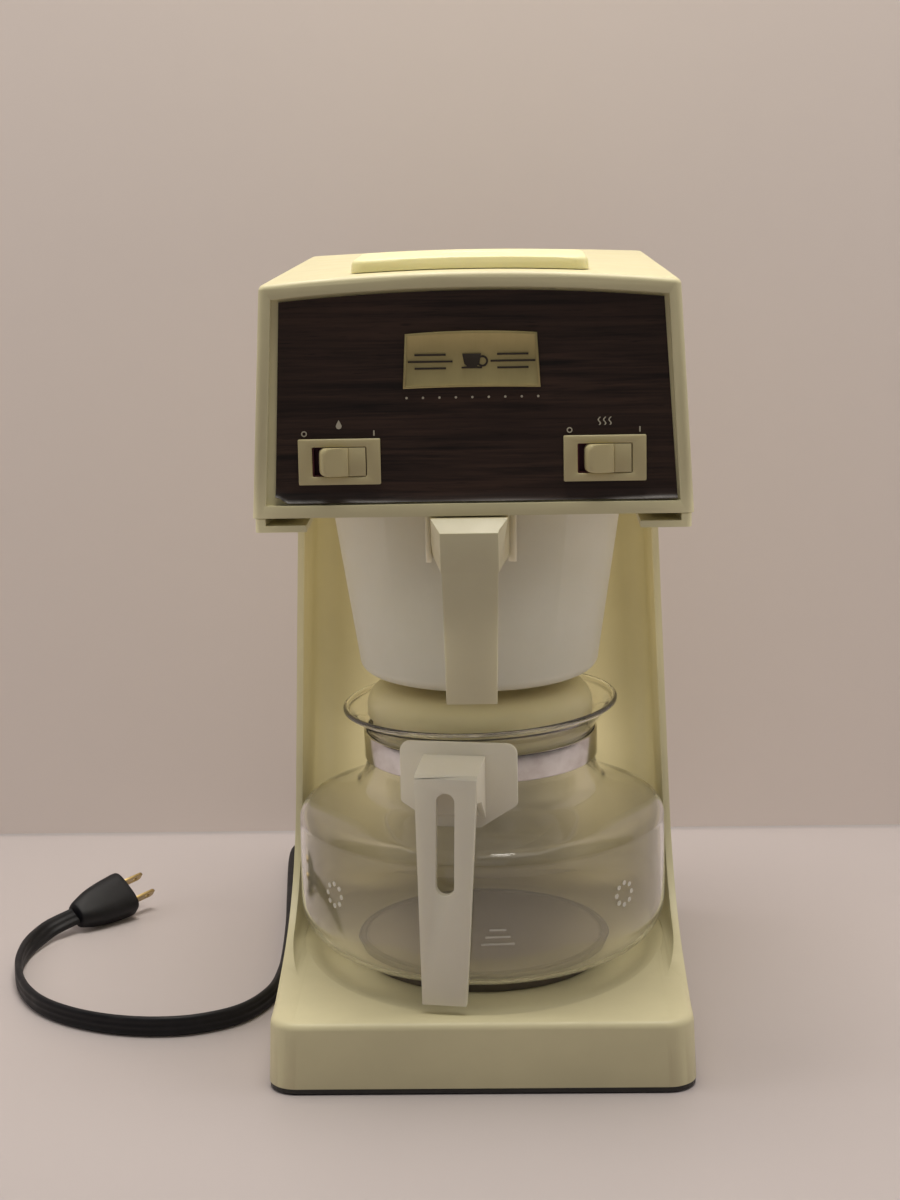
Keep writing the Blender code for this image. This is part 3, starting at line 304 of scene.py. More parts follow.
def loft(loops, bm=None):
    """A closed skin over outlines with equally many points; it adds to a mesh if one is given."""
    bm = bm or bmesh.new()
    rings = [[bm.verts.new(world(*p)) for p in loop] for loop in loops]
    bm.faces.new(rings[0])
    bm.faces.new(rings[-1])
    for low, high in zip(rings, rings[1:]):
        for i in range(len(low)):
            j = (i + 1) % len(low)
            bm.faces.new((low[i], low[j], high[j], high[i]))
    return bm


def box(x0, x1, d0, d1, z0, z1):
    corners = [(x0, d0), (x1, d0), (x1, d1), (x0, d1)]
    return prism_z(corners, z0, z1)


def prism_x(outline, x0, x1):
    return loft([[(x, d, z) for d, z in outline] for x in (x0, x1)])


def prism_z(outline, z0, z1):
    return loft([[(x, d, z) for x, d in outline] for z in (z0, z1)])


def circle(radius, count):
    """Points round a circle, as (across, up)."""
    angles = [2 * math.pi * k / count for k in range(count)]
    return [(radius * math.cos(a), radius * math.sin(a)) for a in angles]


def quarter_round(radius, step):
    """A quarter circle's (drop, inset) from a vertical side up to a level top, step degrees apart."""
    for angle in range(0, 91, step):
        a = math.radians(angle)
        yield radius * (1 - math.sin(a)), radius * (1 - math.cos(a))


def turned(profile, centre=(0, AXIS_DEPTH), segments=128):
    """A profile of (radius, z) turned about a vertical line. Radius 0 points close on the line."""
    bm = bmesh.new()
    rings = []
    for radius, z in profile:
        points = circle(radius, segments)[: 1 if radius == 0 else segments]
        rings.append([bm.verts.new(world(centre[0] + a, centre[1] + b, z)) for a, b in points])
    pairs = list(zip(rings, rings[1:]))
    if len(rings[0]) > 1:
        pairs.append((rings[-1], rings[0]))
    for low, high in pairs:
        for k in range(segments):
            j = (k + 1) % segments
            if len(low) == 1:
                bm.faces.new((low[0], high[k], high[j]))
            elif len(high) == 1:
                bm.faces.new((low[k], low[j], high[0]))
            else:
                bm.faces.new((low[k], low[j], high[j], high[k]))
    return bm


def turned_about_depth(profile, x, z, segments):
    """A profile of (radius, depth) turned about a line that runs front to back."""
    return loft([[(x + a, d, z + b) for a, b in circle(radius, segments)] for radius, d in profile])


def cylinder(x, depth, z0, z1, radius, segments=48):
    return turned([(0, z0), (radius, z0), (radius, z1), (0, z1)], (x, depth), segments)


def arc(cx, cy, rx, ry, start, end, steps):
    angles = [math.radians(start + (end - start) * k / steps) for k in range(steps + 1)]
    return [(cx + rx * math.cos(a), cy + ry * math.sin(a)) for a in angles]


def smooth_step(t):
    """0 to 1, with a soft start and end."""
    t = min(max(t, 0), 1)
    return t * t * (3 - 2 * t)


def smooth_line(points, per_span):
    """More points on a smooth curve that passes through the given ones, in any dimension."""
    knots = [Vector(p) for p in points]
    ends = [2 * knots[0] - knots[1], *knots, 2 * knots[-1] - knots[-2]]
    line = []
    for i in range(1, len(ends) - 2):
        a, b, c, d = ends[i - 1 : i + 3]
        for k in range(per_span):
            t = k / per_span
            curve = 2 * b + (c - a) * t + (2 * a - 5 * b + 4 * c - d) * t**2
            line.append(0.5 * (curve + (3 * b - a - 3 * c + d) * t**3))
    line.append(knots[-1])
    return [tuple(p) for p in line]


def even_route(points, spacing):
    """Evenly spaced points on the smooth curve through the route's own points, and its length."""
    dense = [Vector(p) for p in smooth_line(points, 24)]
    lengths = [0]
    for a, b in zip(dense, dense[1:]):
        lengths.append(lengths[-1] + (b - a).length)
    count = max(2, round(lengths[-1] / spacing))
    line = []
    j = 0
    for k in range(count + 1):
        target = lengths[-1] * k / count
        while j < len(dense) - 2 and lengths[j + 1] < target:
            j += 1
        span = lengths[j + 1] - lengths[j]
        t = (target - lengths[j]) / span if span else 0
        line.append(dense[j].lerp(dense[j + 1], min(t, 1)))
    return line, lengths[-1]


def rounded_quad(half_front, half_back, d0, d1, z, r_front, r_back, steps=8, along=1):
    """A plan outline: a quadrilateral symmetric about x = 0, with rounded corners."""
    points = []
    corners = [
        (half_front, d0, r_front, -90), (half_back, d1, r_back, 0),
        (-half_back, d1, r_back, 90), (-half_front, d0, r_front, 180),
    ]
    for x, d, radius, start in corners:
        cx = x - math.copysign(radius, x)
        cd = d + radius if d == d0 else d - radius
        points += [(px, pd, z) for px, pd in arc(cx, cd, radius, radius, start, start + 90, steps)]
    filled = []
    for i, (x, d, _) in enumerate(points):
        filled.append((x, d, z))
        if i % (steps + 1) == steps:
            nx, nd, _ = points[(i + 1) % len(points)]
            for k in range(1, along):
                t = k / along
                filled.append((x + (nx - x) * t, d + (nd - d) * t, z))
    return filled


def front(x, t, s):
    """A point on the head's leaning front: t behind its face, s up its slope."""
    depth = HEAD_FRONT + s * math.sin(LEAN) + t * math.cos(LEAN)
    return (x, depth, HEAD_Z + s * math.cos(LEAN) - t * math.sin(LEAN))


def front_slab(outline, t0, t1, bm=None):
    """An outline of (x, s) on the leaning front, from t0 to t1 behind its face."""
    return loft([[front(x, t, s) for x, s in outline] for t in (t0, t1)], bm)


def front_box(x0, x1, s0, s1, t0, t1, bm=None):
    return front_slab([(x0, s0), (x1, s0), (x1, s1), (x0, s1)], t0, t1, bm)


def switch_box(cx, half_wide, half_tall, t0, t1):
    """A box round a switch's middle."""
    return front_box(cx - half_wide, cx + half_wide, SWITCH_S - half_tall, SWITCH_S + half_tall, t0, t1)


def front_ring(x, s, radius, width, t0, t1, bm=None):
    """A flat ring with a square section, in the front's own plane."""
    bm = bm or bmesh.new()
    loops = []
    outer, inner = radius + width / 2, radius - width / 2
    for r, t in ((outer, t0), (inner, t0), (inner, t1), (outer, t1)):
        loops.append([bm.verts.new(world(*front(x + a, t, s + b))) for a, b in circle(r, RING_POINTS)])
    for a, b in zip(loops, loops[1:] + loops[:1]):
        for k in range(RING_POINTS):
            j = (k + 1) % RING_POINTS
            bm.faces.new((a[k], a[j], b[j], b[k]))
    return bm


# ---- materials


class Shader:
    """A material's node tree, with short ways to add the nodes that the recipes below use."""

    def __init__(self, name):
        self.material = bpy.data.materials.new(name)
        self.material.use_nodes = True
        self.tree = self.material.node_tree
        self.tree.nodes.clear()
        self.output = self.add("OutputMaterial")
        self.principled = self.add("BsdfPrincipled")
        self.show(self.principled.outputs[0])
        self.place = self.add("TexCoord").outputs["Object"]

    def feed(self, socket, value):
        """Links a socket to another one's output, or gives it a plain value."""
        if isinstance(value, bpy.types.NodeSocket):
            self.tree.links.new(value, socket)
        elif socket.type == "RGBA":
            socket.default_value = (*value, 1)
        else:
            socket.default_value = value

    def add(self, kind, values=None):
        node = self.tree.nodes.new("ShaderNode" + kind)
        for key, value in (values or {}).items():
            self.feed(node.inputs[key], value)
        return node

    def show(self, shader):
        self.tree.links.new(shader, self.output.inputs[0])

    def set(self, **values):
        for key, value in values.items():
            self.feed(self.principled.inputs[key.replace("_", " ")], value)

    def scaled(self, scale):
        return self.add("Mapping", {"Scale": scale, "Vector": self.place}).outputs[0]

    def noise(self, scale, detail=3, roughness=0.5, vector=None, distortion=0):
        values = {"Scale": scale, "Detail": detail, "Roughness": roughness, "Distortion": distortion}
        return self.add("TexNoise", {**values, "Vector": vector or self.place}).outputs["Fac"]

    def spread(self, value, low=0.3, high=0.7, to_low=0, to_high=1):
        """The value's span from low to high, stretched to another span."""
        values = {"From Min": low, "From Max": high, "To Min": to_low, "To Max": to_high}
        return self.add("MapRange", {"Value": value, **values}).outputs[0]

    def blend(self, factor, a, b):
        node = self.add("Mix")
        node.data_type = "RGBA"
        factor_socket, first, second = (node.inputs[i] for i in (0, 6, 7))
        self.feed(factor_socket, factor)
        self.feed(first, a)
        self.feed(second, b)
        return node.outputs[2]

    def mixed(self, factor, first, second):
        """Two shaders in one."""
        return self.add("MixShader", {0: factor, 1: first, 2: second}).outputs[0]

    def bump(self, value, distance_mm, strength=1):
        values = {"Strength": strength, "Distance": distance_mm * MM, "Height": value}
        self.feed(self.principled.inputs["Normal"], self.add("Bump", values).outputs[0])


def moulded(name, colour, rough=0.42, mottle=0.05, texture_mm=0.04, subsurface=0):
    """Moulded plastic: faint flow marks, a fine satin texture and a little dust."""
    s = Shader(name)
    cloud = s.noise(14, 4, 0.6)
    fine = s.noise(900, 2, 0.5)
    darker = tuple(c * (1 - mottle * 1.6) for c in colour)
    lighter = tuple(min(1, c * (1 + mottle)) for c in colour)
    s.set(Base_Color=s.blend(s.spread(cloud), darker, lighter))
    s.set(Roughness=s.spread(s.noise(60, 5, 0.6), 0.3, 0.7, rough - 0.06, rough + 0.08))
    if subsurface:
        s.set(Subsurface_Weight=subsurface, Subsurface_Scale=0.004, Subsurface_Radius=(1, 0.9, 0.6))
    s.bump(fine, texture_mm, 0.35)
    return s.material


PANEL_DARK = (0.009, 0.0050, 0.0042)
PANEL_LIGHT = (0.060, 0.0320, 0.0220)
PANEL_MIDDLE = (0.026, 0.0130, 0.0095)
PANEL_PORE = (0.005, 0.0026, 0.0020)


def woodgrain():
    """Printed walnut under a clear film: fine dark streaks across, small pores and broad figure."""
    s = Shader("woodgrain_print")
    stretched = s.scaled((13, 13, 330))
    streaks = s.noise(1, 7, 0.62, stretched, 0.35)
    figure = s.noise(1, 3, 0.5, s.scaled((7, 7, 40)), 1)
    pores = s.noise(1, 2, 0.5, s.scaled((90, 90, 1500)))
    tone = s.blend(s.spread(streaks, 0.34, 0.66), PANEL_DARK, PANEL_LIGHT)
    tone = s.blend(s.spread(figure, 0.42, 0.72, 0, 0.6), tone, PANEL_MIDDLE)
    tone = s.blend(s.spread(pores, 0.60, 0.75, 0, 0.6), tone, PANEL_PORE)
    s.set(Base_Color=tone, Roughness=s.spread(streaks, 0.3, 0.7, 0.40, 0.52), Coat_Weight=0.2)
    s.set(Coat_Roughness=0.25, Specular_IOR_Level=0.3)
    s.bump(pores, 0.02, 0.4)
    return s.material


def metal(name, colour, rough, streak=(40, 40, 900), spots=0.12):
    """Bare metal: drawing marks one way, dulled in patches."""
    s = Shader(name)
    lines = s.noise(1, 4, 0.6, s.scaled(streak))
    patch = s.noise(45, 4, 0.6)
    dull = tuple(c * (1 - spots) for c in colour)
    s.set(Base_Color=s.blend(s.spread(patch, 0.35, 0.65), dull, colour), Metallic=1)
    s.set(Roughness=s.spread(lines, 0.3, 0.7, rough - 0.05, rough + 0.08))
    s.bump(lines, 0.01, 0.3)
    return s.material


def worn_chrome():
    """A bright band gone cloudy in places, with fine scratches."""
    s = Shader("worn_chrome")
    cloud = s.noise(38, 5, 0.6)
    specks = s.noise(420, 3, 0.6)
    tone = s.blend(s.spread(cloud, 0.40, 0.62), (0.60, 0.57, 0.54), (0.80, 0.78, 0.77))
    tone = s.blend(s.spread(specks, 0.70, 0.80, 0, 0.5), tone, (0.40, 0.36, 0.33))
    s.set(Base_Color=tone, Metallic=1, Roughness=s.spread(cloud, 0.40, 0.62, 0.22, 0.08))
    s.bump(cloud, 0.02, 0.25)
    return s.material


def coated_plate():
    """The warming plate: grey non-stick coating with fine speckle and a browned edge."""
    s = Shader("plate_coating_speckled")
    speckle = s.noise(1500, 2, 0.5)
    stain = s.noise(30, 5, 0.65)
    tone = s.blend(s.spread(speckle, 0.35, 0.65), (0.25, 0.205, 0.165), (0.38, 0.325, 0.27))
    tone = s.blend(s.spread(stain, 0.50, 0.78, 0, 0.35), tone, (0.19, 0.14, 0.10))
    s.set(Base_Color=tone, Roughness=s.spread(stain, 0.3, 0.7, 0.36, 0.52), Metallic=0.2)
    s.bump(speckle, 0.03, 0.4)
    return s.material


def rubber(name, colour, shine=0.5):
    """Matt black or brown rubber with a fine grain, paler where it is worn."""
    s = Shader(name)
    fine = s.noise(1400, 2, 0.5)
    wear = s.noise(90, 4, 0.6)
    paler = tuple(min(1, c * 1.7 + 0.01) for c in colour)
    s.set(Base_Color=s.blend(s.spread(wear, 0.45, 0.8, 0, 0.6), colour, paler), Specular_IOR_Level=shine)
    s.set(Roughness=s.spread(wear, 0.3, 0.7, 0.42, 0.62))
    s.bump(fine, 0.03, 0.4)
    return s.material


def clear_glass():
    """Clear heat-resistant glass under a faint diffuse film, part haze and part painted sheen in place of
    reflections; lamps shine through it.
    """
    s = Shader("carafe_clear_glass")
    haze = s.noise(26, 5, 0.6)
    s.set(Base_Color=(0.992, 0.984, 0.968), Transmission_Weight=1, IOR=1.47)
    s.set(Roughness=s.spread(haze, 0.5, 0.8, 0, 0.05))
    clear = s.add("BsdfTransparent", {"Color": (0.95, 0.94, 0.92)}).outputs[0]
    # painted sheen: a pale diffuse layer whitens the glass as reflections of the bright room would, along
    # with a faint haze
    film = s.add("BsdfDiffuse", {"Color": (0.90, 0.86, 0.78)}).outputs[0]
    haze_and_sheen = s.mixed(GLASS_HAZE_AND_SHEEN, s.principled.outputs[0], film)
    shadow_ray = s.add("LightPath").outputs["Is Shadow Ray"]
    s.show(s.mixed(shadow_ray, haze_and_sheen, clear))
    return s.material


def frosted():
    """Milky translucent plastic: light comes through it softly."""
    s = Shader("basket_milky_plastic")
    cloud = s.noise(20, 4, 0.6)
    tone = s.blend(s.spread(cloud), (0.745, 0.668, 0.49), (0.80, 0.722, 0.55))
    s.set(Base_Color=tone, Roughness=s.spread(cloud, 0.3, 0.7, 0.36, 0.48))
    s.set(Subsurface_Weight=0.7, Subsurface_Scale=0.014, Subsurface_Radius=(1, 0.9, 0.75))
    s.bump(s.noise(700, 2, 0.5), 0.03, 0.3)
    return s.material


def etched_glass():
    """A faint frosting that lets most of what is behind it through."""
    s = Shader("etched_marks")
    s.set(Base_Color=(0.84, 0.82, 0.76), Roughness=0.6)
    s.show(s.mixed(ETCHED_CLEAR, s.principled.outputs[0], s.add("BsdfTransparent").outputs[0]))
    return s.material


def braid():
    """Woven sleeving on the leads."""
    s = Shader("braided_sleeve")
    wave = s.add("TexWave", {"Scale": 260, "Distortion": 3, "Detail": 2, "Vector": s.place})
    wave.bands_direction = "DIAGONAL"
    weave = wave.outputs["Fac"]
    s.set(Base_Color=s.blend(weave, (0.52, 0.48, 0.40), (0.76, 0.73, 0.66)), Roughness=0.85)
    s.bump(weave, 0.15, 0.6)
    return s.material


CREAM = (0.72, 0.665, 0.42)
IVORY = (0.80, 0.785, 0.70)
MATERIALS = {
    "cream_plastic": moulded("cream_moulded", CREAM, 0.42, 0.04),
    "white_plastic": moulded("ivory_moulded", IVORY, 0.36, 0.03, 0.03, 0.12),
    "lid_plastic": moulded("pale_lid_moulded", (0.88, 0.83, 0.49), 0.38, 0.03, 0.03, 0.35),
    "frosted_plastic": frosted(),
    "woodgrain": woodgrain(),
    "gold_plate": metal("pale_gold_plate", (0.66, 0.56, 0.27), 0.42, (900, 40, 40), 0.08),
    "steel": metal("drawn_steel", (0.60, 0.59, 0.58), 0.30),
    "plate_coating": coated_plate(),
    "chrome": worn_chrome(),
    "glass": clear_glass(),
    "aluminium": metal("mill_aluminium", (0.68, 0.68, 0.69), 0.42),
    "brass": metal("dull_brass", (0.46, 0.34, 0.15), 0.36),
    "black_rubber": rubber("black_cord_rubber", (0.008, 0.008, 0.010), 0.28),
    "black_metal": moulded("black_enamel", (0.022, 0.020, 0.018), 0.4, 0.2, 0.03),
    "seal_rubber": rubber("brown_seal_rubber", (0.085, 0.070, 0.058)),
    "phenolic": moulded("maroon_phenolic", (0.13, 0.020, 0.040), 0.45, 0.15),
    "wire_sleeve": braid(),
    "switch_plastic": moulded("switch_cream_moulded", (0.62, 0.545, 0.31), 0.38, 0.03, 0.03, 0.1),
    "pull_plastic": moulded("pull_ivory_moulded", (0.68, 0.63, 0.43), 0.36, 0.03, 0.03, 0.12),
    "handle_plastic": moulded("handle_ivory_moulded", (0.78, 0.74, 0.62), 0.36, 0.03, 0.03, 0.2),
    "cap_plastic": moulded("cap_cream_moulded", (0.72, 0.65, 0.38), 0.34, 0.04, 0.03, 0.3),
    "dark_line": moulded("dark_print", (0.035, 0.025, 0.015), 0.5, 0.1, 0.01),
    "pale_print": moulded("pale_print", (0.62, 0.58, 0.46), 0.5, 0.1, 0.01),
    "etched": etched_glass(),
}


# ---- base and column


def half_width(z):
    return BASE_HALF - SIDE_TAPER * z


def base_plan(z, inset=0):
    """The outline of base and column at a height, drawn in by inset."""
    half = half_width(z) - inset
    near = FRONT_RAKE * z + inset
    return rounded_quad(half, half, near, BODY_BACK, z, BASE_CORNER_R - inset, BACK_CORNER_R, 14)


def bay_loop(z, inset):
    """The carafe bay's outline at a height, open to the front."""
    half = half_width(z) - SIDE_WALL - inset
    return rounded_quad(half, half, AHEAD, BAY_BACK - inset, z, 4, 12, 10)


def dish_profile(drop=0, grow=0):
    """The dish in the deck from its middle out, lowered and widened for the hollow under it."""
    shape = [(66, 0), (80, 0.9), (93, 3.1), (104, 6), (110, 7.7), (DISH_R, 8.5)]
    line = smooth_line([(r + grow, DISH_Z + h - drop) for r, h in shape], 4)
    return [(0, DISH_Z - drop)] + line


def squeeze_dish(bm):
    """Narrows the dish towards its edge, so that it is oval there and stays inside the side walls."""
    for vert in bm.verts:
        x, y = vert.co.x / MM, vert.co.y / MM - AXIS_DEPTH - FRONT_Y
        share = smooth_step((math.hypot(x, y) - DISH_FLAT_R) / (DISH_R - DISH_FLAT_R))
        vert.co.x *= 1 - (1 - DISH_HALF / DISH_R) * share
    return bm


def base_block():
    """The base as a solid block, whose top edge is rounded all the way along its sides."""
    loops = [base_plan(BASE_LOW_Z)]
    for drop, inset in quarter_round(BASE_EDGE_R, 15):
        loops.append(base_plan(DECK_Z + DECK_LIP - drop, inset))
    return loft(loops)


def column_block():
    """The column's solid block; its front edge sweeps forward and dies away in the base's rounded edge."""
    column = solid("column", loft([base_plan(20), base_plan(BODY_TOP_Z)]))
    foot = [(14, 31.2), (34, 31.9), (48, 33.6), (62, 36.2), (74, 38.6), (86, 41.6), (102, 47.6)]
    rise = [(116, 56.4), (127, 67.6), (134.4, 81.2), (137.4, 94)]
    rise += [(EDGE_DEPTH, 106), (EDGE_DEPTH, 130)]
    sweep = [(AHEAD, FAR_ABOVE), (AHEAD, 31)] + smooth_line(foot + rise, 6) + [(EDGE_DEPTH, FAR_ABOVE)]
    return cut(column, prism_x(sweep, -BEYOND, BEYOND))


def lower_housing():
    """Base, deck with its dish, carafe bay and hollow column, in one moulding."""
    body = solid("base_shell", base_block())
    join(body, column_block())
    bay = [bay_loop(DECK_Z + rise, inset) for inset, rise in quarter_round(BAY_FILLET, 9)]
    cut(body, loft(bay + [bay_loop(FAR_ABOVE, 0)]))
    dish_cutter = dish_profile() + [(DISH_R, 60), (0, 60)]
    dish = solid("dish", squeeze_dish(turned(dish_cutter, segments=160)))
    cut(dish, box(-120, 120, 0, BAY_BACK - 5, 10, 80), "INTERSECT")
    cut(body, dish)

    # the hollow under the deck keeps a wall's thickness under the dish as well
    low_half, high_half = half_width(3) - WALL, half_width(31) - WALL
    low = rounded_quad(low_half, low_half, WALL + 0.6, HOLLOW_BACK, -6, 11, 3, 8)
    high = rounded_quad(high_half, high_half, WALL + 2.4, HOLLOW_BACK, DECK_Z - WALL - 1, 11, 3, 8)
    hollow = solid("hollow", loft([low, high]))
    keep = dish_profile(WALL, 1.5) + [(DISH_R + 1.5, 70), (0, 70)]
    cut(hollow, turned(keep, segments=96))
    cut(body, hollow)

    # the column is open at the back and at the bottom, and a notch lets the wiring through from the base
    column = []
    for z, inside_z in ((-6, 0), (300, 300)):
        half = half_width(inside_z) - WALL
        plan = [(-half, COLUMN_NEAR), (half, COLUMN_NEAR), (half, COLUMN_FAR), (-half, COLUMN_FAR)]
        column.append([(x, d, z) for x, d in plan])
    cut(body, loft(column))
    cut(body, box(-12, 12, 215, 230, -1, 18))
    cut(body, cylinder(0, AXIS_DEPTH, 10, 40, PLATE_HOLE_R, 128))
    soften(body, 0.8, 3, 34)
    finish(body, "cream_plastic", "machine", ["lower_housing"])


# ---- warming plate


def warming_plate():
    """The dark ring in the deck, and the coated plate with its stud."""
    ring = [
        (61.3, 35), (61.5, 35.5), (61.9, 35.6), (62.3, 35.3), (62.9, 34.7), (64.1, 34.6), (64.6, 35),
        (65, 35), (65.3, 34.5), (65.2, 33.6), (62.9, 27.3), (58.4, 27.3), (58.4, 29.6), (61.3, 29.6),
    ]
    obj = solid("plate_ring_detail", turned(ring, segments=160))
    finish(obj, "seal_rubber", "machine", ["plate_ring"])
    plate = [
        (0, 34.5), (2, 34.7), (3.4, 35.2), (5, 35.3), (58.6, 35.3), (59.4, 34.9), (60, 34.9),
        (60.4, 35.2), (60.8, 35.1), (61, 34.6), (61, 29.9), (59.4, 29.9), (59.4, 33.6), (2.2, 33.6),
        (2.2, 12), (0, 12),
    ]
    obj = solid("plate_detail", turned(plate, segments=160))
    finish(obj, "plate_coating", "machine", ["warming_plate"])


# ---- head


def head_half(z, back=False):
    t = (z - HEAD_Z) / (HEAD_TOP_Z - HEAD_Z)
    half = HEAD_HALF_BOTTOM + (HEAD_HALF_TOP - HEAD_HALF_BOTTOM) * t
    return half - (HEAD_BACK_TAPER if back else 0)


def head_front(z):
    return HEAD_FRONT + HEAD_LEAN * (z - HEAD_Z) / (HEAD_TOP_Z - HEAD_Z)


def crown(x, depth):
    """How far the head's top rises above its edges: most in the middle, and less towards the back."""
    t = (depth - HEAD_FRONT) / (HEAD_BACK - HEAD_FRONT)
    rise = CROWN_RISE - CROWN_RISE / 2 * t
    return rise * max(0, 1 - (x / HEAD_HALF_TOP) ** 2)


def head_loop(z, inset, top=False):
    half_front, half_back = head_half(z) - inset, head_half(z, True) - inset
    ends = (head_front(z) + inset, HEAD_BACK - inset)
    plan = rounded_quad(half_front, half_back, *ends, z, HEAD_CORNER_R, HEAD_CORNER_R, 5, 22)
    return [(x, d, z + crown(x, d)) for x, d, _ in plan] if top else plan


def head_shell(inset, z_low):
    """The head's solid block, drawn in by inset on every side; its top closes in towards its middle."""
    top = HEAD_TOP_Z - inset
    loops = [head_loop(z_low, inset)]
    for drop, pull_in in quarter_round(HEAD_EDGE_R, 15):
        loops.append(head_loop(top - drop, inset + pull_in, True))
    for share in (0.12, 0.24, 0.36, 0.48, 0.6, 0.72, 0.84, 0.94):
        loops.append(head_loop(top, inset + HEAD_EDGE_R + 84 * share, True))
    return loft(loops)


def opening_outline():
    """The recess in the head's front, with the same bow along its top as the head's crown."""
    low_half, high_half = 93.7, 88.9
    low, high = 5.6, 98.2
    outline = [(-low_half, low), (low_half, low)]
    for k in range(25):
        x = high_half - 2 * high_half * k / 24
        outline.append((x, high + OPENING_BOW * (1 - (x / high_half) ** 2)))
    return outline


def head_housing():
    """The hollow head: recessed front, switch windows, reservoir mouth and two screw bosses."""
    head = solid("head_shell", head_shell(0, HEAD_Z))
    cavity = solid("cavity", head_shell(HEAD_WALL, HEAD_Z - 8))
    cut(cavity, front_box(-120, 120, -40, 120, -30, PANEL_RECESS + 2.4))
    cut(head, cavity)
    cut(head, front_slab(opening_outline(), -20, PANEL_RECESS))
    for side in (-1, 1):
        cut(head, switch_box(side * SWITCH_X, 13.1, 7.4, 0, 12))
    mouth = rounded_quad(MOUTH_HALF, MOUTH_HALF, *MOUTH_DEPTHS, 360, 5, 5, 6)
    cut(head, prism_z([(x, d) for x, d, _ in mouth], 360, 400))
    for x in (-BOSS_X, BOSS_X):
        join(head, cylinder(x, BOSS_DEPTH, 277.7, 300, 4, 24))
        cut(head, cylinder(x, BOSS_DEPTH, 270, 292, 1.7, 16))
    soften(head, 0.6, 3, 34)
    finish(head, "cream_plastic", "machine", ["head_housing"])


def reservoir_lid():
    """A shallow cap that follows the head's crown, with a skirt that drops into the reservoir's mouth."""
    loops = []
    under = [(0.4, 29), (0.4, 16), (0.4, 0)]
    over = [(4.4, 0.3), (5.4, 0.7), (6, 1.5), (6.3, 2.8), (6.3, 9), (6.3, 16), (6.3, 29)]
    for rise, inset in under + over:
        half = LID_HALF - inset
        corner = max(1, 6 - inset)
        plan = rounded_quad(half, half, LID_FRONT + inset, LID_BACK - inset, 0, corner, corner, 6, 16)
        loops.append([(x, d, HEAD_TOP_Z + crown(x, d) + rise) for x, d, _ in plan])
    lid = solid("reservoir_cap", loft(loops))
    skirt = [(x, d) for x, d, _ in rounded_quad(48.6, 48.6, 43.4, 96.6, 0, 4, 4, 5)]
    join(lid, prism_z(skirt, 374, 384.6))
    hollow = [(x * 0.95, 70 + (d - 70) * 0.93) for x, d in skirt]
    cut(lid, prism_z(hollow, 370, 386.4))
    soften(lid, 0.4, 2, 40)
    finish(lid, "lid_plastic", "reservoir_cap", ["reservoir_lid"])


def panel_point(u, v, back):
    """A point on the printed sheet: u along it, v up it, back behind its face."""
    left = -89.4 + (89.4 - 85.5) * v
    right = 92.6 - (92.6 - 86.8) * v
    x = left + (right - left) * u
    low = 6.6 + 3 * smooth_step((0.035 - u) / 0.035)
    high = 96.9 + (OPENING_BOW - 0.2) * (1 - ((x - 0.6) / 87) ** 2)
    waves = 0.85 + 0.3 * math.sin(u * 11) * math.sin(u * 4 + 1)
    curl = waves * max(0, (CURL_SHARE - v) / CURL_SHARE) ** 3.5
    return front(x, PANEL_T - CURL_REACH * curl + back, low + (high - low) * v)


def front_panel():
    """The printed sheet, which stands off its seat a little along its lower edge."""
    columns, rows = 96, 60
    bm = bmesh.new()
    grids = []
    for back in (0, 0.7):
        grid = []
        for j in range(rows + 1):
            v = (j / rows) ** 1.5  # finer rows along the curled edge
            row = [panel_point(i / columns, v, back) for i in range(columns + 1)]
            grid.append([bm.verts.new(world(*p)) for p in row])
        grids.append(grid)
    near, far = grids
    for grid in grids:
        for j in range(rows):
            for i in range(columns):
                bm.faces.new((grid[j][i], grid[j][i + 1], grid[j + 1][i + 1], grid[j + 1][i]))
    for i in range(columns):
        bm.faces.new((near[0][i], far[0][i], far[0][i + 1], near[0][i + 1]))
        bm.faces.new((near[rows][i], near[rows][i + 1], far[rows][i + 1], far[rows][i]))
    for j in range(rows):
        bm.faces.new((near[j][0], near[j + 1][0], far[j + 1][0], far[j][0]))
        bm.faces.new((near[j][columns], far[j][columns], far[j + 1][columns], near[j + 1][columns]))
    panel = solid("panel_sheet", bm)
    for side in (-1, 1):
        cut(panel, switch_box(side * SWITCH_X, 12.9, 7.2, -2, 8))
    finish(panel, "woodgrain", "machine", ["front_panel"])


def print_slab(bm, outline):
    """A patch of raised ink on the panel."""
    return front_slab(outline, PRINT_T, PRINT_T + PRINT_THICK, bm)


def cup_outline(x, s):
    """A cup seen from the side, about 9 mm wide and 6 mm high, standing on its saucer."""
    right = [(x + 4.6, s), (x + 4.6, s + 0.7), (x + 2.2, s + 0.9), (x + 3.4, s + 2.2), (x + 4.2, s + 6.6)]
    return right + [(2 * x - px, ps) for px, ps in reversed(right)]


def plate_outline(inset):
    """The nameplate's outline, whose long edges bow up a little."""
    points = []
    low_edge = (-1, 57.6 + inset, 30.9 - inset, 0.5)
    high_edge = (1, 82 - inset, 29.6 - inset, 1.1)
    for sign, s, half, bow in (low_edge, high_edge):
        for k in range(13):
            t = -1 + k / 6
            points.append((0.4 - sign * t * half, s + bow * (1 - t * t)))
    return points


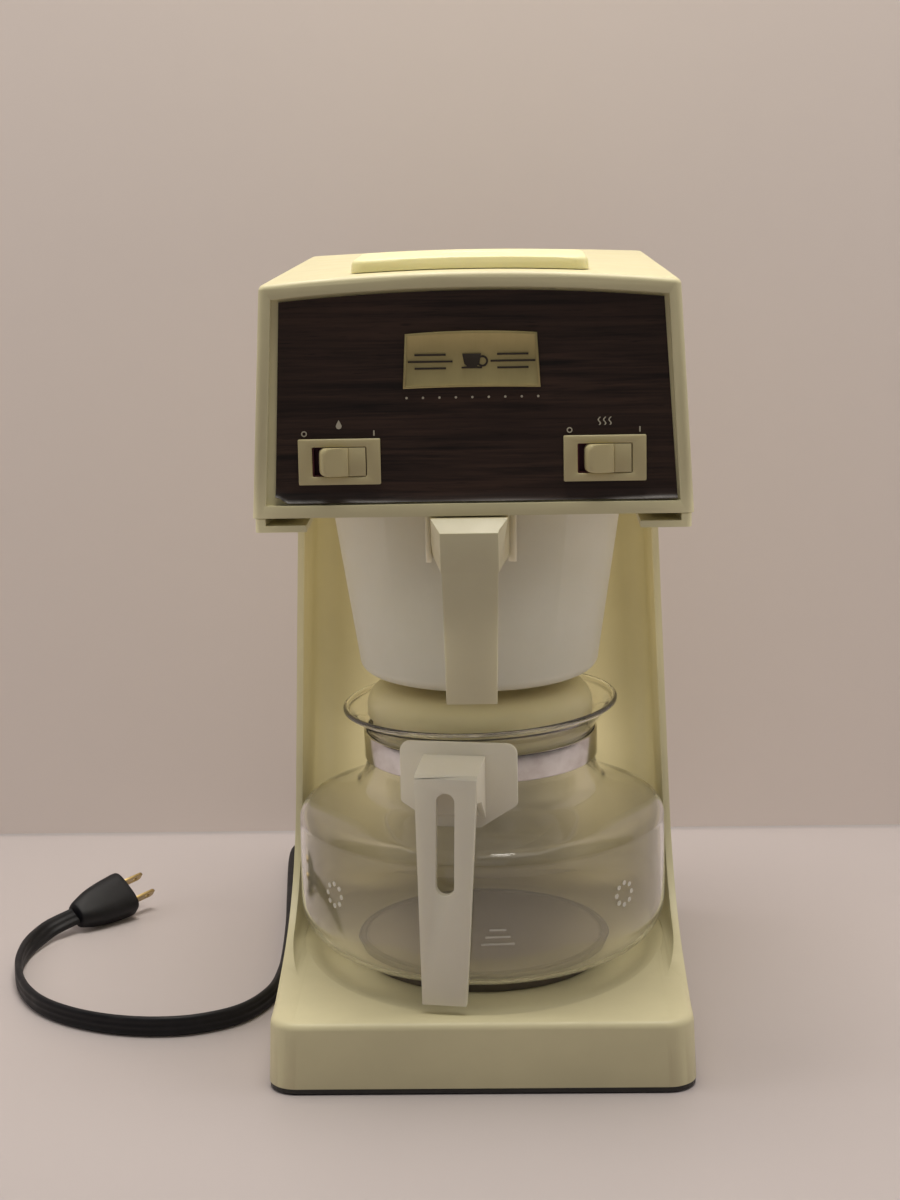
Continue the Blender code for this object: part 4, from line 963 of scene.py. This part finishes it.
def nameplate():
    """A plate with a plain border ridge, and raised signs of no make: a cup between level rules."""
    plate = solid("nameplate_detail", front_slab(plate_outline(0), 1.7, 2.6))
    ridge = solid("ridge", front_slab(plate_outline(0.1), 1.3, 1.9))
    cut(ridge, front_slab(plate_outline(1.2), 0, 3))
    join(plate, ridge)
    soften(plate, 0.22, 2, 34)
    finish(plate, "gold_plate", "machine", ["nameplate"])

    near, far = 0.9, 1.8
    signs = solid("nameplate_signs", front_slab(cup_outline(0.6, 66.4), near, far))
    join(signs, front_ring(5.4, 69.6, 2.1, 0.9, near, far))
    for x in (-18, 19):
        for s in (66.6, 69.6, 72.6):
            half = 10 - abs(s - 69.6)
            join(signs, front_box(x - half, x + half, s - 0.42, s + 0.42, near, far))
    soften(signs, 0.15, 2, 34)
    finish(signs, "dark_line", "machine")

    bm = bmesh.new()
    for k in range(9):
        print_slab(bm, arc(-29 + 7.4 * k, 53.4, 0.55, 0.55, 0, 330, 11))
    finish(solid("row_of_dots", bm), "pale_print", "machine")


def switch_signs(label, cx):
    """Signs above a switch: a ring and a bar for off and on, and a drop or heat waves for what it does."""
    bm = bmesh.new()
    level = SWITCH_S + 12.7  # of the ring and the bar
    top = SWITCH_S + 16.6  # of the drop and the waves
    front_ring(cx - 15.8, level, 1.05, 0.5, PRINT_T, PRINT_T + PRINT_THICK, bm)
    front_box(cx + 15.5, cx + 16.1, level - 1.2, level + 1.2, PRINT_T, PRINT_T + PRINT_THICK, bm)
    if label == "brew":
        drop = arc(cx, top - 0.6, 1.3, 1.3, -215, 35, 12)
        print_slab(bm, drop + [(cx, top + 2.2)])
    else:
        for offset in (-2.4, 0, 2.4):
            line = [(cx + offset + 0.5 * math.sin(k * 0.9), top - 1.8 + 0.45 * k) for k in range(9)]
            print_slab(bm, [(x - 0.3, s) for x, s in line] + [(x + 0.3, s) for x, s in reversed(line)])
    finish(solid(label + "_signs", bm), "pale_print", "machine")


def rocker(label, cx):
    """The rocker: a square pressed flush on the right, and a rounded nose that stands out on the left."""
    flush = [(11.9, 2.4), (11.9, 1), (11.6, 0.75), (4.7, 0.35), (4.35, 0.5), (4.2, 0.9), (4.05, 0.4)]
    flush += [(3.7, -0.35)]
    nose = [(1, -1.5), (-2.4, -2.5), (-5.2, -3.3), (-6.6, -3.5), (-7.5, -3.2), (-8.2, -2.4), (-8.7, -1)]
    nose += [(-9.4, 3)]
    heel = [(x, ROCKER_PIVOT_T + t) for x, t in arc(0, 0, 5, 5, 150, 30, 16)]
    back = [(-7, 5.4)] + heel + [(8, 4.2)]
    loops = []
    for share in (-1, -0.985, -0.94, -0.87, -0.76, -0.6, -0.3, 0.3, 0.6, 0.76, 0.87, 0.94, 0.985, 1):
        s = SWITCH_S + share * ROCKER_HALF
        over = max(0, abs(share) * ROCKER_HALF - (ROCKER_HALF - NOSE_R))
        pull_in = NOSE_R - math.sqrt(max(0, NOSE_R**2 - over**2))
        loop = [front(cx + x, t, s) for x, t in flush]
        for x, t in nose:
            side = smooth_step((1 - x) / 9)
            loop.append(front(cx + x + pull_in * side, t + 0.35 * pull_in * side, s))
        loops.append(loop + [front(cx + x, t, s) for x, t in back])
    piece = solid(label + "_rocker", loft(loops))
    soften(piece, 0.18, 2, 40)
    finish(piece, "switch_plastic", label + "_rocker", [label + "_switch_rocker"])


def switch(label, side):
    """A frame, its rocker and the signs above it."""
    cx = side * SWITCH_X
    bezel = solid(label + "_bezel", switch_box(cx, 18.6, 10.4, 0.7, 2.6))
    cut(bezel, switch_box(cx, 12.3, 6.7, -1, 5))
    soften(bezel, 0.6, 3, 34)
    finish(bezel, "switch_plastic", "machine", [label + "_switch_frame"])
    rocker(label, cx)
    switch_signs(label, cx)


# ---- basket


def basket_radius(z):
    """The cup's outside radius; its wall leans out."""
    return 60.4 + 0.149 * (z - BASKET_Z - 6)


def basket():
    """The cup with its drip hole, and the two wings that ride on the head's rails."""
    low = basket_radius(BASKET_Z + 6)
    rim = basket_radius(WING_Z)
    profile = [(5, BASKET_Z), (5.6, BASKET_Z)]
    profile += arc(low - 7, BASKET_Z + 6.5, 7, 6.5, -90, 0, 12)
    profile += [(rim, WING_Z), (rim, BASKET_TOP_Z), (rim - 2, BASKET_TOP_Z)]
    profile += arc(low - 7, BASKET_Z + 7, 5.2, 5, 0, -90, 10)
    profile += [(5.6, BASKET_Z + 2), (5, BASKET_Z + 2)]
    cup = solid("basket_cup", turned(profile, segments=160))
    wings = solid("wings", box(-90.2, 90.2, 64, 190, WING_Z, BASKET_TOP_Z))
    cut(wings, cylinder(0, AXIS_DEPTH, 260, 290, rim - 1, 160))
    join(cup, wings)
    soften(cup, 0.4, 2, 40)
    finish(cup, "frosted_plastic", "brew_basket", ["basket"])


def pull_clearance():
    """The basket's cone with a little room round it, taken out of what sits against the basket."""
    low, high = 170, 285
    cone = [(0, low), (basket_radius(low) + 0.4, low), (basket_radius(high) + 0.4, high), (0, high)]
    return turned(cone, segments=160)


def pull_arm(z0, z1):
    """The arm between two heights: it flares behind the pull's face, then widens slowly to the basket."""
    loops = []
    for z in (z0, z1):
        flare = 0.6 + 3.7 * (z - ARM_LOW_Z) / (PULL_TOP_Z - ARM_LOW_Z)
        right = [(13.2, 5), (13.2 + flare, 12), (19, 56)]
        left = [(-x, d) for x, d in reversed(right)]
        loops.append([(PULL_X + x, d, z) for x, d in right + left])
    return loft(loops)


def pull_face(half_low, half_high, d0, d1, z0, z1):
    """A slab as wide as the hanging strap, or as the hollow behind it."""
    loops = []
    for z, half in ((z0, half_low), (z1, half_high)):
        loops.append([(PULL_X + x, d, z) for x, d in ((-half, d0), (half, d0), (half, d1), (-half, d1))])
    return loft(loops)


def basket_pull():
    """The hanging pull: a hollow-backed strap with a sloping top, and an arm to the basket's milky pad."""
    pull = solid("basket_pull", pull_face(11.6, 13.2, 5, 15, PULL_LOW_Z, PULL_CORNER_Z))
    join(pull, pull_arm(ARM_LOW_Z, PULL_TOP_Z))
    cut(pull, prism_x([(-5, 260), (26, 284.8), (-5, 284.8)], -40, 40))
    under_arm = [(PULL_X + x, d) for x, d in ((-11.4, 7.2), (11.4, 7.2), (16.4, 45), (-16.4, 45))]
    hollow_top = PULL_CORNER_Z - 2.6
    cut(pull, prism_z(under_arm, 240, hollow_top))
    cut(pull, pull_face(9.8, 11.4, 7.4, 30, PULL_LOW_Z - 2, hollow_top))
    cut(pull, pull_clearance())
    cut(pull, box(-60, 60, 63, 80, 271, 280))
    soften(pull, 0.9, 3, 24)
    finish(pull, "pull_plastic", "brew_basket", ["basket_handle"])

    pad = solid("basket_pad", box(PULL_X - 21.4, PULL_X + 21.4, 46, 62, 247, PULL_TOP_Z - 3))
    cut(pad, pull_clearance())
    cut(pad, pull_arm(240, PULL_TOP_Z + 2))
    soften(pad, 0.5, 2, 24)
    finish(pad, "frosted_plastic", "brew_basket", ["basket_handle"])


# ---- carafe


def carafe_wall(inset):
    """The bowl's profile from bottom to neck: a round heel, an upright wall, a tight shoulder."""
    heel = arc(HEEL_R, CARAFE_Z + HEEL_H, CARAFE_R - HEEL_R - inset, HEEL_H - inset, -90, 0, WALL_STEPS)
    round_r = SHOULDER_CORNER - inset
    shoulder = arc(SHOULDER_R, SHOULDER_Z, round_r, round_r, 0, 68, WALL_STEPS)
    slope = [(77, 113.6), (67.5, 117.6), (62.8, 120.8), (60.2, 125.2), (58.7, 129.5), (NECK_R, 133)]
    inner = [(r - 0.6 * inset, z - 0.8 * inset) for r, z in slope[:3]]
    inner += [(r - inset, z - 0.3 * inset) for r, z in slope[3:]]
    return heel + shoulder[:-1] + smooth_line([shoulder[-1]] + inner, 5)


def rim_tilt(bm):
    """Tilts the rim above the collar sideways, as the tilt grows up the flare."""
    for vert in bm.verts:
        z = vert.co.z / MM
        if z > COLLAR_TOP_Z:
            share = smooth_step((z - COLLAR_TOP_Z - 1) / (RIM_Z - COLLAR_TOP_Z - 1))
            vert.co.z += vert.co.x * math.tan(RIM_TILT) * share
    return bm


def carafe_glass():
    """The glass in one turned profile: up its outside, round its rim and down its inside."""
    flare = [(NECK_R, 140), (NECK_R, 147.5), (60.2, 151.5), (64.4, 155.8), (RIM_R, 159.6)]
    outer = carafe_wall(0) + smooth_line(flare, 5)
    rim = arc(RIM_R - 1.2, 160.5, 1.3, 1.2, -20, 160, 8)
    inner = smooth_line([(66.8, 159.2), (62.6, 156.6), (58.4, 152.2), (NECK_R - GLASS_WALL, 148)], 5)
    inner += list(reversed(carafe_wall(GLASS_WALL)))
    profile = [(0, CARAFE_Z + 0.5), (20, CARAFE_Z + 0.4), (60, CARAFE_Z + 0.1)] + outer + rim + inner
    profile += [(60, CARAFE_Z + 2), (20, CARAFE_Z + 2.3), (0, CARAFE_Z + 2.4)]
    glass = solid("carafe_bowl", rim_tilt(turned(profile, segments=192)))
    finish(glass, "glass", "carafe", ["carafe_glass"], 60)


def wall_patch(bm, outline, turn, z):
    """A thin frosted patch on the bowl's upright wall; its outline is (along, up) from a point there."""
    rings = []
    for reach in (CARAFE_R + 0.05, CARAFE_R + 0.2):
        ring = []
        for along, up in outline:
            a = turn + along / CARAFE_R
            ring.append((reach * math.sin(a), AXIS_DEPTH - reach * math.cos(a), z + up))
        rings.append(ring)
    return loft(rings, bm)


def glass_marks():
    """Faint frosted signs on the glass, all plain: a ring of dots on each side, fill lines in front."""
    bm = bmesh.new()
    for turn in (-50, 48):
        for x, y in arc(0, 0, 5.6, 5.6, 0, 315, 7):
            dot = [(x + px, y + py) for px, py in arc(0, 0, 1.25, 1.25, 0, 330, 11)]
            wall_patch(bm, dot, math.radians(turn), MARK_Z)
    for row in range(3):
        half = 8 - 2 * row
        dash = [(-half, -0.5), (half, -0.5), (half, 0.5), (-half, 0.5)]
        wall_patch(bm, dash, math.radians(5), 64 + 3.6 * row)
    finish(solid("glass_signs", bm), "etched", "carafe")


def collar():
    """A thin bright band round the neck, with a hole for the handle's screw."""
    inner = NECK_R + 0.3
    band = [
        (0, 147), (0.7, 147), (1, 146.8), (1.1, 146.4), (1.1, 133.9), (1, 133.6), (0.7, 133.4),
        (0, 133.4),
    ]
    ring = solid("collar_band", turned([(inner + r, z) for r, z in band], segments=192))
    cut(ring, radial_cylinder(SCREW_HOLE_R, 50, 66, SCREW_Z, 24))
    finish(ring, "chrome", "carafe", ["carafe_collar"])


def carafe_point(x, reach, z):
    """A point in the handle's own frame: x across it, reach outwards from the carafe's axis."""
    c, s = math.cos(CARAFE_TURN), math.sin(CARAFE_TURN)
    return (x * c + reach * s, AXIS_DEPTH + x * s - reach * c, z)


def radial_cylinder(radius, reach0, reach1, z, segments=20):
    outline = [(a, z + b) for a, b in circle(radius, segments)]
    return radial_slab(outline, reach0, reach1)


def radial_slab(outline, reach0, reach1):
    """An outline of (across, z) drawn out along the handle's reach."""
    return loft([[carafe_point(x, reach, z) for x, z in outline] for reach in (reach0, reach1)])


def side_slab(outline, half):
    """An outline of (reach, z), as wide as the handle's part."""
    return loft([[carafe_point(x, reach, z) for reach, z in outline] for x in (-half, half)])


def carafe_handle():
    """The shield against the collar, the arm out from it, and the long strap with its slot."""
    shield = arc(25.5, 153.6, 5, 5, 0, 90, 6) + arc(-21.6, 153.6, 5, 5, 90, 180, 6)
    shield += arc(-23.6, 130, 3, 3, 180, 223, 3) + arc(-7.5, 119.4, 3, 3, 223, 270, 3)
    shield += arc(11.5, 119.4, 3, 3, 270, 317, 3) + arc(27.5, 130, 3, 3, 317, 360, 3)
    handle = solid("pouring_handle", radial_slab(shield, 72.6, 74.4))
    root = [(59.4, 133.6), (73, 133.6), (73, 147), (62, 147), (59.4, 145.4)]
    join(handle, side_slab(root, 12))
    arm = [(73, 152.5), (96, 148.6), (98.2, 146.6), (98.2, 136), (86, 133), (73, 120)]
    join(handle, side_slab(arm, 15))
    strap = []
    for z, half, reach in ((39.8, 10.6, 111.8), (147, 15, 98.2)):
        inside = reach - 4.2
        corners = ((-half, reach), (half, reach), (half, inside), (-half, inside))
        strap.append([carafe_point(x, out, z) for x, out in corners])
    join(handle, loft(strap))
    arm_hollow = [(76, 148.6), (94, 145.6), (95.4, 142), (95.4, 100), (76, 100)]
    cut(handle, side_slab(arm_hollow, 12.4))
    slot = arc(0, 136, 4.5, 4.5, 0, 180, 16) + arc(0, 96.3, 4.5, 4.5, 180, 360, 16)
    cut(handle, radial_slab(slot, 90, 120))
    clear_r = NECK_R + 1.7
    cut(handle, cylinder(0, AXIS_DEPTH, 100, 150, clear_r, 192))
    cut(handle, radial_cylinder(SCREW_HOLE_R, 50, 80, SCREW_Z))
    soften(handle, 0.7, 3, 24)
    finish(handle, "handle_plastic", "carafe", ["carafe_handle"])


def carafe_lid():
    """A shallow dome over a skirt in the neck, with the brew-through hole in its middle."""
    profile = [(5.5, 168.6), (6.2, 168.9), (13.2, 169.2), (14.2, 169.6), (15, 170.7), (16, 171.1)]
    profile += [(44, 171.6)]
    profile += arc(46, 160, 11.4, 11.2, 80, 0, 14)
    profile += [(57.2, 155.4), (56.8, 154.8), (54.8, 152.4), (54.8, 142.4), (54.4, 142), (53.4, 142)]
    profile += [(53, 142.4), (53, 153.4)]
    profile += smooth_line([(54.4, 157), (53.6, 163), (50.4, 167.2), (44, 169)], 4)
    profile += [(17, 168.4), (5.5, 166.8)]
    lid = solid("pouring_lid", turned(profile, segments=160))
    finish(lid, "cap_plastic", "carafe_cap", ["carafe_lid"])


# ---- cord and plug

EXIT_X = -38
EXIT_Z = 16
CORD_W = 10.5
REST_Z = 5.5
CORD_ROUTE = [
    (EXIT_X, 291.3, EXIT_Z), (EXIT_X, 303, 15.2), (EXIT_X, 318, 11), (-38.6, 332, 7),
    (-42.5, 350, REST_Z), (-55, 369, REST_Z), (-79, 378.5, REST_Z), (-103, 370, REST_Z),
    (-118, 350, REST_Z), (-121, 328, REST_Z), (-116, 262, REST_Z), (-112, 215, REST_Z),
    (-109.3, 170, REST_Z), (-108.8, 140, REST_Z), (-112, 112, REST_Z), (-124, 88, REST_Z),
    (-144, 75, REST_Z), (-166, 71.5, REST_Z), (-190, 75.5, REST_Z), (-213, 86.5, REST_Z),
    (-232, 103.5, REST_Z), (-246, 128, REST_Z), (-254, 157, REST_Z), (-255, 184, REST_Z),
    (-249, 207.4, 6.6), (-243.5, 214.5, 8.1), (-236, 223, 9.4),
]
PLUG_START = Vector((-236, 223, 9.4))
PLUG_AXIS = Vector((0.66, 0.745, 0.1)).normalized()
PLUG_ROLL = math.radians(40)
TWIST_SPAN = 70  # the cord's last stretch turns on itself to meet the plug


def plug_frame():
    flat = Vector((PLUG_AXIS.y, -PLUG_AXIS.x, 0)).normalized()
    up = flat.cross(PLUG_AXIS)
    across = flat * math.cos(PLUG_ROLL) - up * math.sin(PLUG_ROLL)
    return across, across.cross(PLUG_AXIS)


def plug_point(along, wide, thick):
    across, normal = plug_frame()
    return tuple(PLUG_START + PLUG_AXIS * along + across * wide + normal * thick)


def lobed_section():
    """Three round lobes in a row, as (along the row, across it)."""
    lobe_r = 1.95
    spacing = (CORD_W - 2 * lobe_r) / 2
    right = arc(spacing, 0, lobe_r, lobe_r, -122, 122, 10)
    over = arc(0, 0, lobe_r, lobe_r, 58, 122, 4)
    left = [(-a, -b) for a, b in right]
    under = [(-a, -b) for a, b in over]
    return right + over + left + under


def cord():
    """The cord lies with its row of lobes upright, and turns flat towards the plug."""
    route, length = even_route(CORD_ROUTE, 4)
    across, _ = plug_frame()
    up = Vector((0, 0, 1))
    loops = []
    run = 0
    for i, p in enumerate(route):
        ahead = route[min(i + 1, len(route) - 1)] - route[max(i - 1, 0)]
        tangent = ahead.normalized()
        if i:
            run += (p - route[i - 1]).length
        share = smooth_step((run - (length - TWIST_SPAN)) / TWIST_SPAN)
        tall = up.lerp(-across, share)
        tall = (tall - tangent * tall.dot(tangent)).normalized()
        side = tall.cross(tangent)
        loops.append([tuple(p + tall * a + side * b) for a, b in lobed_section()])
    obj = solid("power_cord", loft(loops))
    finish(obj, "black_rubber", "machine", ["cord"], 50)
    return obj, [tuple(world(*p)) for p in route], length * MM


def plug():
    """The moulded grip, a rounded oblong in section that grows squarer from the cord on, and its blades."""
    stations = [
        (0.7, 6.4, 5.2), (2, 7.4, 6), (6, 8.8, 6.8), (12, 10.6, 7.6), (20, 12, 8.2),
        (28, 12.8, 8.5), (34, 13.2, 8.7), (36.4, 13, 8.5), (37, 12.4, 8),
    ]
    loops = []
    for along, wide, thick in smooth_line(stations, 3):
        squareness = 0.70 - 0.08 * smooth_step((along - 1) / 9)
        loop = []
        for c, s in circle(1, 64):
            cx = math.copysign(abs(c) ** squareness, c)
            cy = math.copysign(abs(s) ** squareness, s)
            loop.append(plug_point(along, wide * cx, thick * cy))
        loops.append(loop)
    body = solid("plug_moulding", loft(loops))
    soften(body, 0.8, 3, 40)
    finish(body, "black_rubber", "machine", ["plug_body"], 40)
    pieces = [body]
    for name in ("plug_blade_left", "plug_blade_right"):
        blade = copy_of(name, name + "_detail")
        soften(blade, 0.15, 2, 30)
        finish(blade, "brass", "machine", [name])
        pieces.append(blade)
    return pieces


def strain_relief():
    """A flange in the rear cover's hole, then a ribbed sleeve that narrows along the cord."""
    profile = [(9.2, 252.2), (9.4, 252.6), (9.4, 254.4), (7, 254.6), (7, 257.4), (9, 257.4)]
    profile += [(9.2, 258.2), (8.7, 261)]
    for k in range(5):
        d = 263 + 5 * k
        r = 8.4 - 0.42 * k
        profile += [(r, d), (r - 1.4, d + 0.6), (r - 1.4, d + 2.4), (r - 0.2, d + 3)]
    profile += [(6.3, 288.6), (5.6, 290.2)]
    relief = solid("cord_relief", turned_about_depth(profile, EXIT_X, EXIT_Z, 48))
    finish(relief, "black_rubber", "machine", ["strain_relief"])
    return relief


# ---- camera, light and stage


def camera():
    """The eye stands level with the top of the machine and looks down at it, turned a little left."""
    yaw, pitch, roll = (math.radians(a) for a in (CAMERA_YAW, CAMERA_PITCH, CAMERA_ROLL))
    ahead = Vector((math.sin(yaw) * math.cos(pitch), math.cos(yaw) * math.cos(pitch), -math.sin(pitch)))
    level = Vector((math.cos(yaw), -math.sin(yaw), 0))
    upright = level.cross(ahead)
    right = level * math.cos(roll) + upright * math.sin(roll)
    up = upright * math.cos(roll) - level * math.sin(roll)
    data = bpy.data.cameras.new("camera")
    data.sensor_width = 36
    data.lens = CAMERA_LENS
    data.clip_start = 0.05
    data.clip_end = 30
    obj = placed("camera", data)
    rotation = Matrix((right, up, -ahead)).transposed().to_4x4()
    obj.matrix_world = Matrix.Translation(world(*CAMERA_PLACE)) @ rotation
    bpy.context.scene.camera = obj


def area_light(name, place, target, size, power, colour, mirrored):
    """A soft rectangular lamp, never seen itself; mirrored lamps show in glossy and clear surfaces."""
    data = bpy.data.lights.new(name, "AREA")
    data.shape = "RECTANGLE"
    data.size, data.size_y = size
    data.energy = power
    data.color = colour
    obj = placed(name, data)
    aim = Vector(target) - Vector(place)
    obj.matrix_world = Matrix.Translation(place) @ aim.to_track_quat("-Z", "Y").to_matrix().to_4x4()
    obj.visible_camera = False
    obj.visible_glossy = mirrored
    obj.visible_transmission = mirrored


def stage_material(name, colour, see_through_back):
    """Plain paper; a backdrop's back is clear, so that it hides nothing from behind."""
    s = Shader(name)
    paper = s.noise(40, 4, 0.6)
    darker = tuple(c * 0.985 for c in colour)
    s.set(Base_Color=s.blend(paper, darker, colour), Roughness=0.42)
    s.bump(s.noise(600, 3, 0.6), 0.05, 0.2)
    if see_through_back:
        back = s.add("NewGeometry").outputs["Backfacing"]
        s.show(s.mixed(back, s.principled.outputs[0], s.add("BsdfTransparent").outputs[0]))
    return s.material


def stage():
    """A floor sheet, and a wall behind it that is seen only from its front."""
    r = STAGE_REACH
    floor = [(-r, -r, 0), (r, -r, 0), (r, r, 0), (-r, r, 0)]
    feet = [(-r, WALL_DEPTH, WALL_GAP), (r, WALL_DEPTH, WALL_GAP)]
    wall = feet + [(r, WALL_DEPTH, WALL_TOP), (-r, WALL_DEPTH, WALL_TOP)]
    for name, corners, tone in (("floor", floor, FLOOR_TONE), ("backdrop", wall, WALL_TONE)):
        bm = bmesh.new()
        bm.faces.new([bm.verts.new(world(*p)) for p in corners])
        obj = placed(name, mesh_from(name, bm))
        obj.data.materials.append(stage_material(name + "_paper", tone, name == "backdrop"))


def lights():
    """Soft ceiling light, weak light from the room in front, washes on the wall, and lamps for the bay."""
    for name, place, target, size, power, colour in ROOM_LAMPS:
        area_light(name, place, target, size, power, colour, True)
    for side in (-1, 1):
        for name, (x, y, z), (tx, ty, tz), size, power, colour in PAIRED_LAMPS:
            twin = "%s_%d" % (name, side)
            area_light(twin, (side * x, y, z), (side * tx, ty, tz), size, power, colour, False)
    for name, place, target, size, power, colour in BAY_LAMPS:
        area_light(name, place, target, size, power, colour, False)
    studio = bpy.data.worlds.new("studio")
    studio.use_nodes = True
    background = studio.node_tree.nodes["Background"]
    background.inputs["Color"].default_value = (1, 0.96, 0.94, 1)
    background.inputs["Strength"].default_value = 0.04
    bpy.context.scene.world = studio
    bpy.context.scene.view_settings.view_transform = "Standard"


def dress_cad_nodes():
    """Every CAD node that stays in view gets its procedural material."""
    for row in frame["record"]["subparts"]:
        node = frame["nodes"].get(row["node"])
        if node is None:
            continue
        node.data.materials.clear()
        node.data.materials.append(MATERIALS[row["material_slot"]])


# ---- everything, camera and cord first

camera()
cord_piece, cord_path, cord_length = cord()
plug_pieces = plug()
relief = strain_relief()
dress_cad_nodes()
lower_housing()
warming_plate()
head_housing()
reservoir_lid()
front_panel()
nameplate()
switch("brew", -1)
switch("warmer", 1)
basket()
basket_pull()
carafe_glass()
glass_marks()
collar()
carafe_handle()
carafe_lid()
stage()
lights()
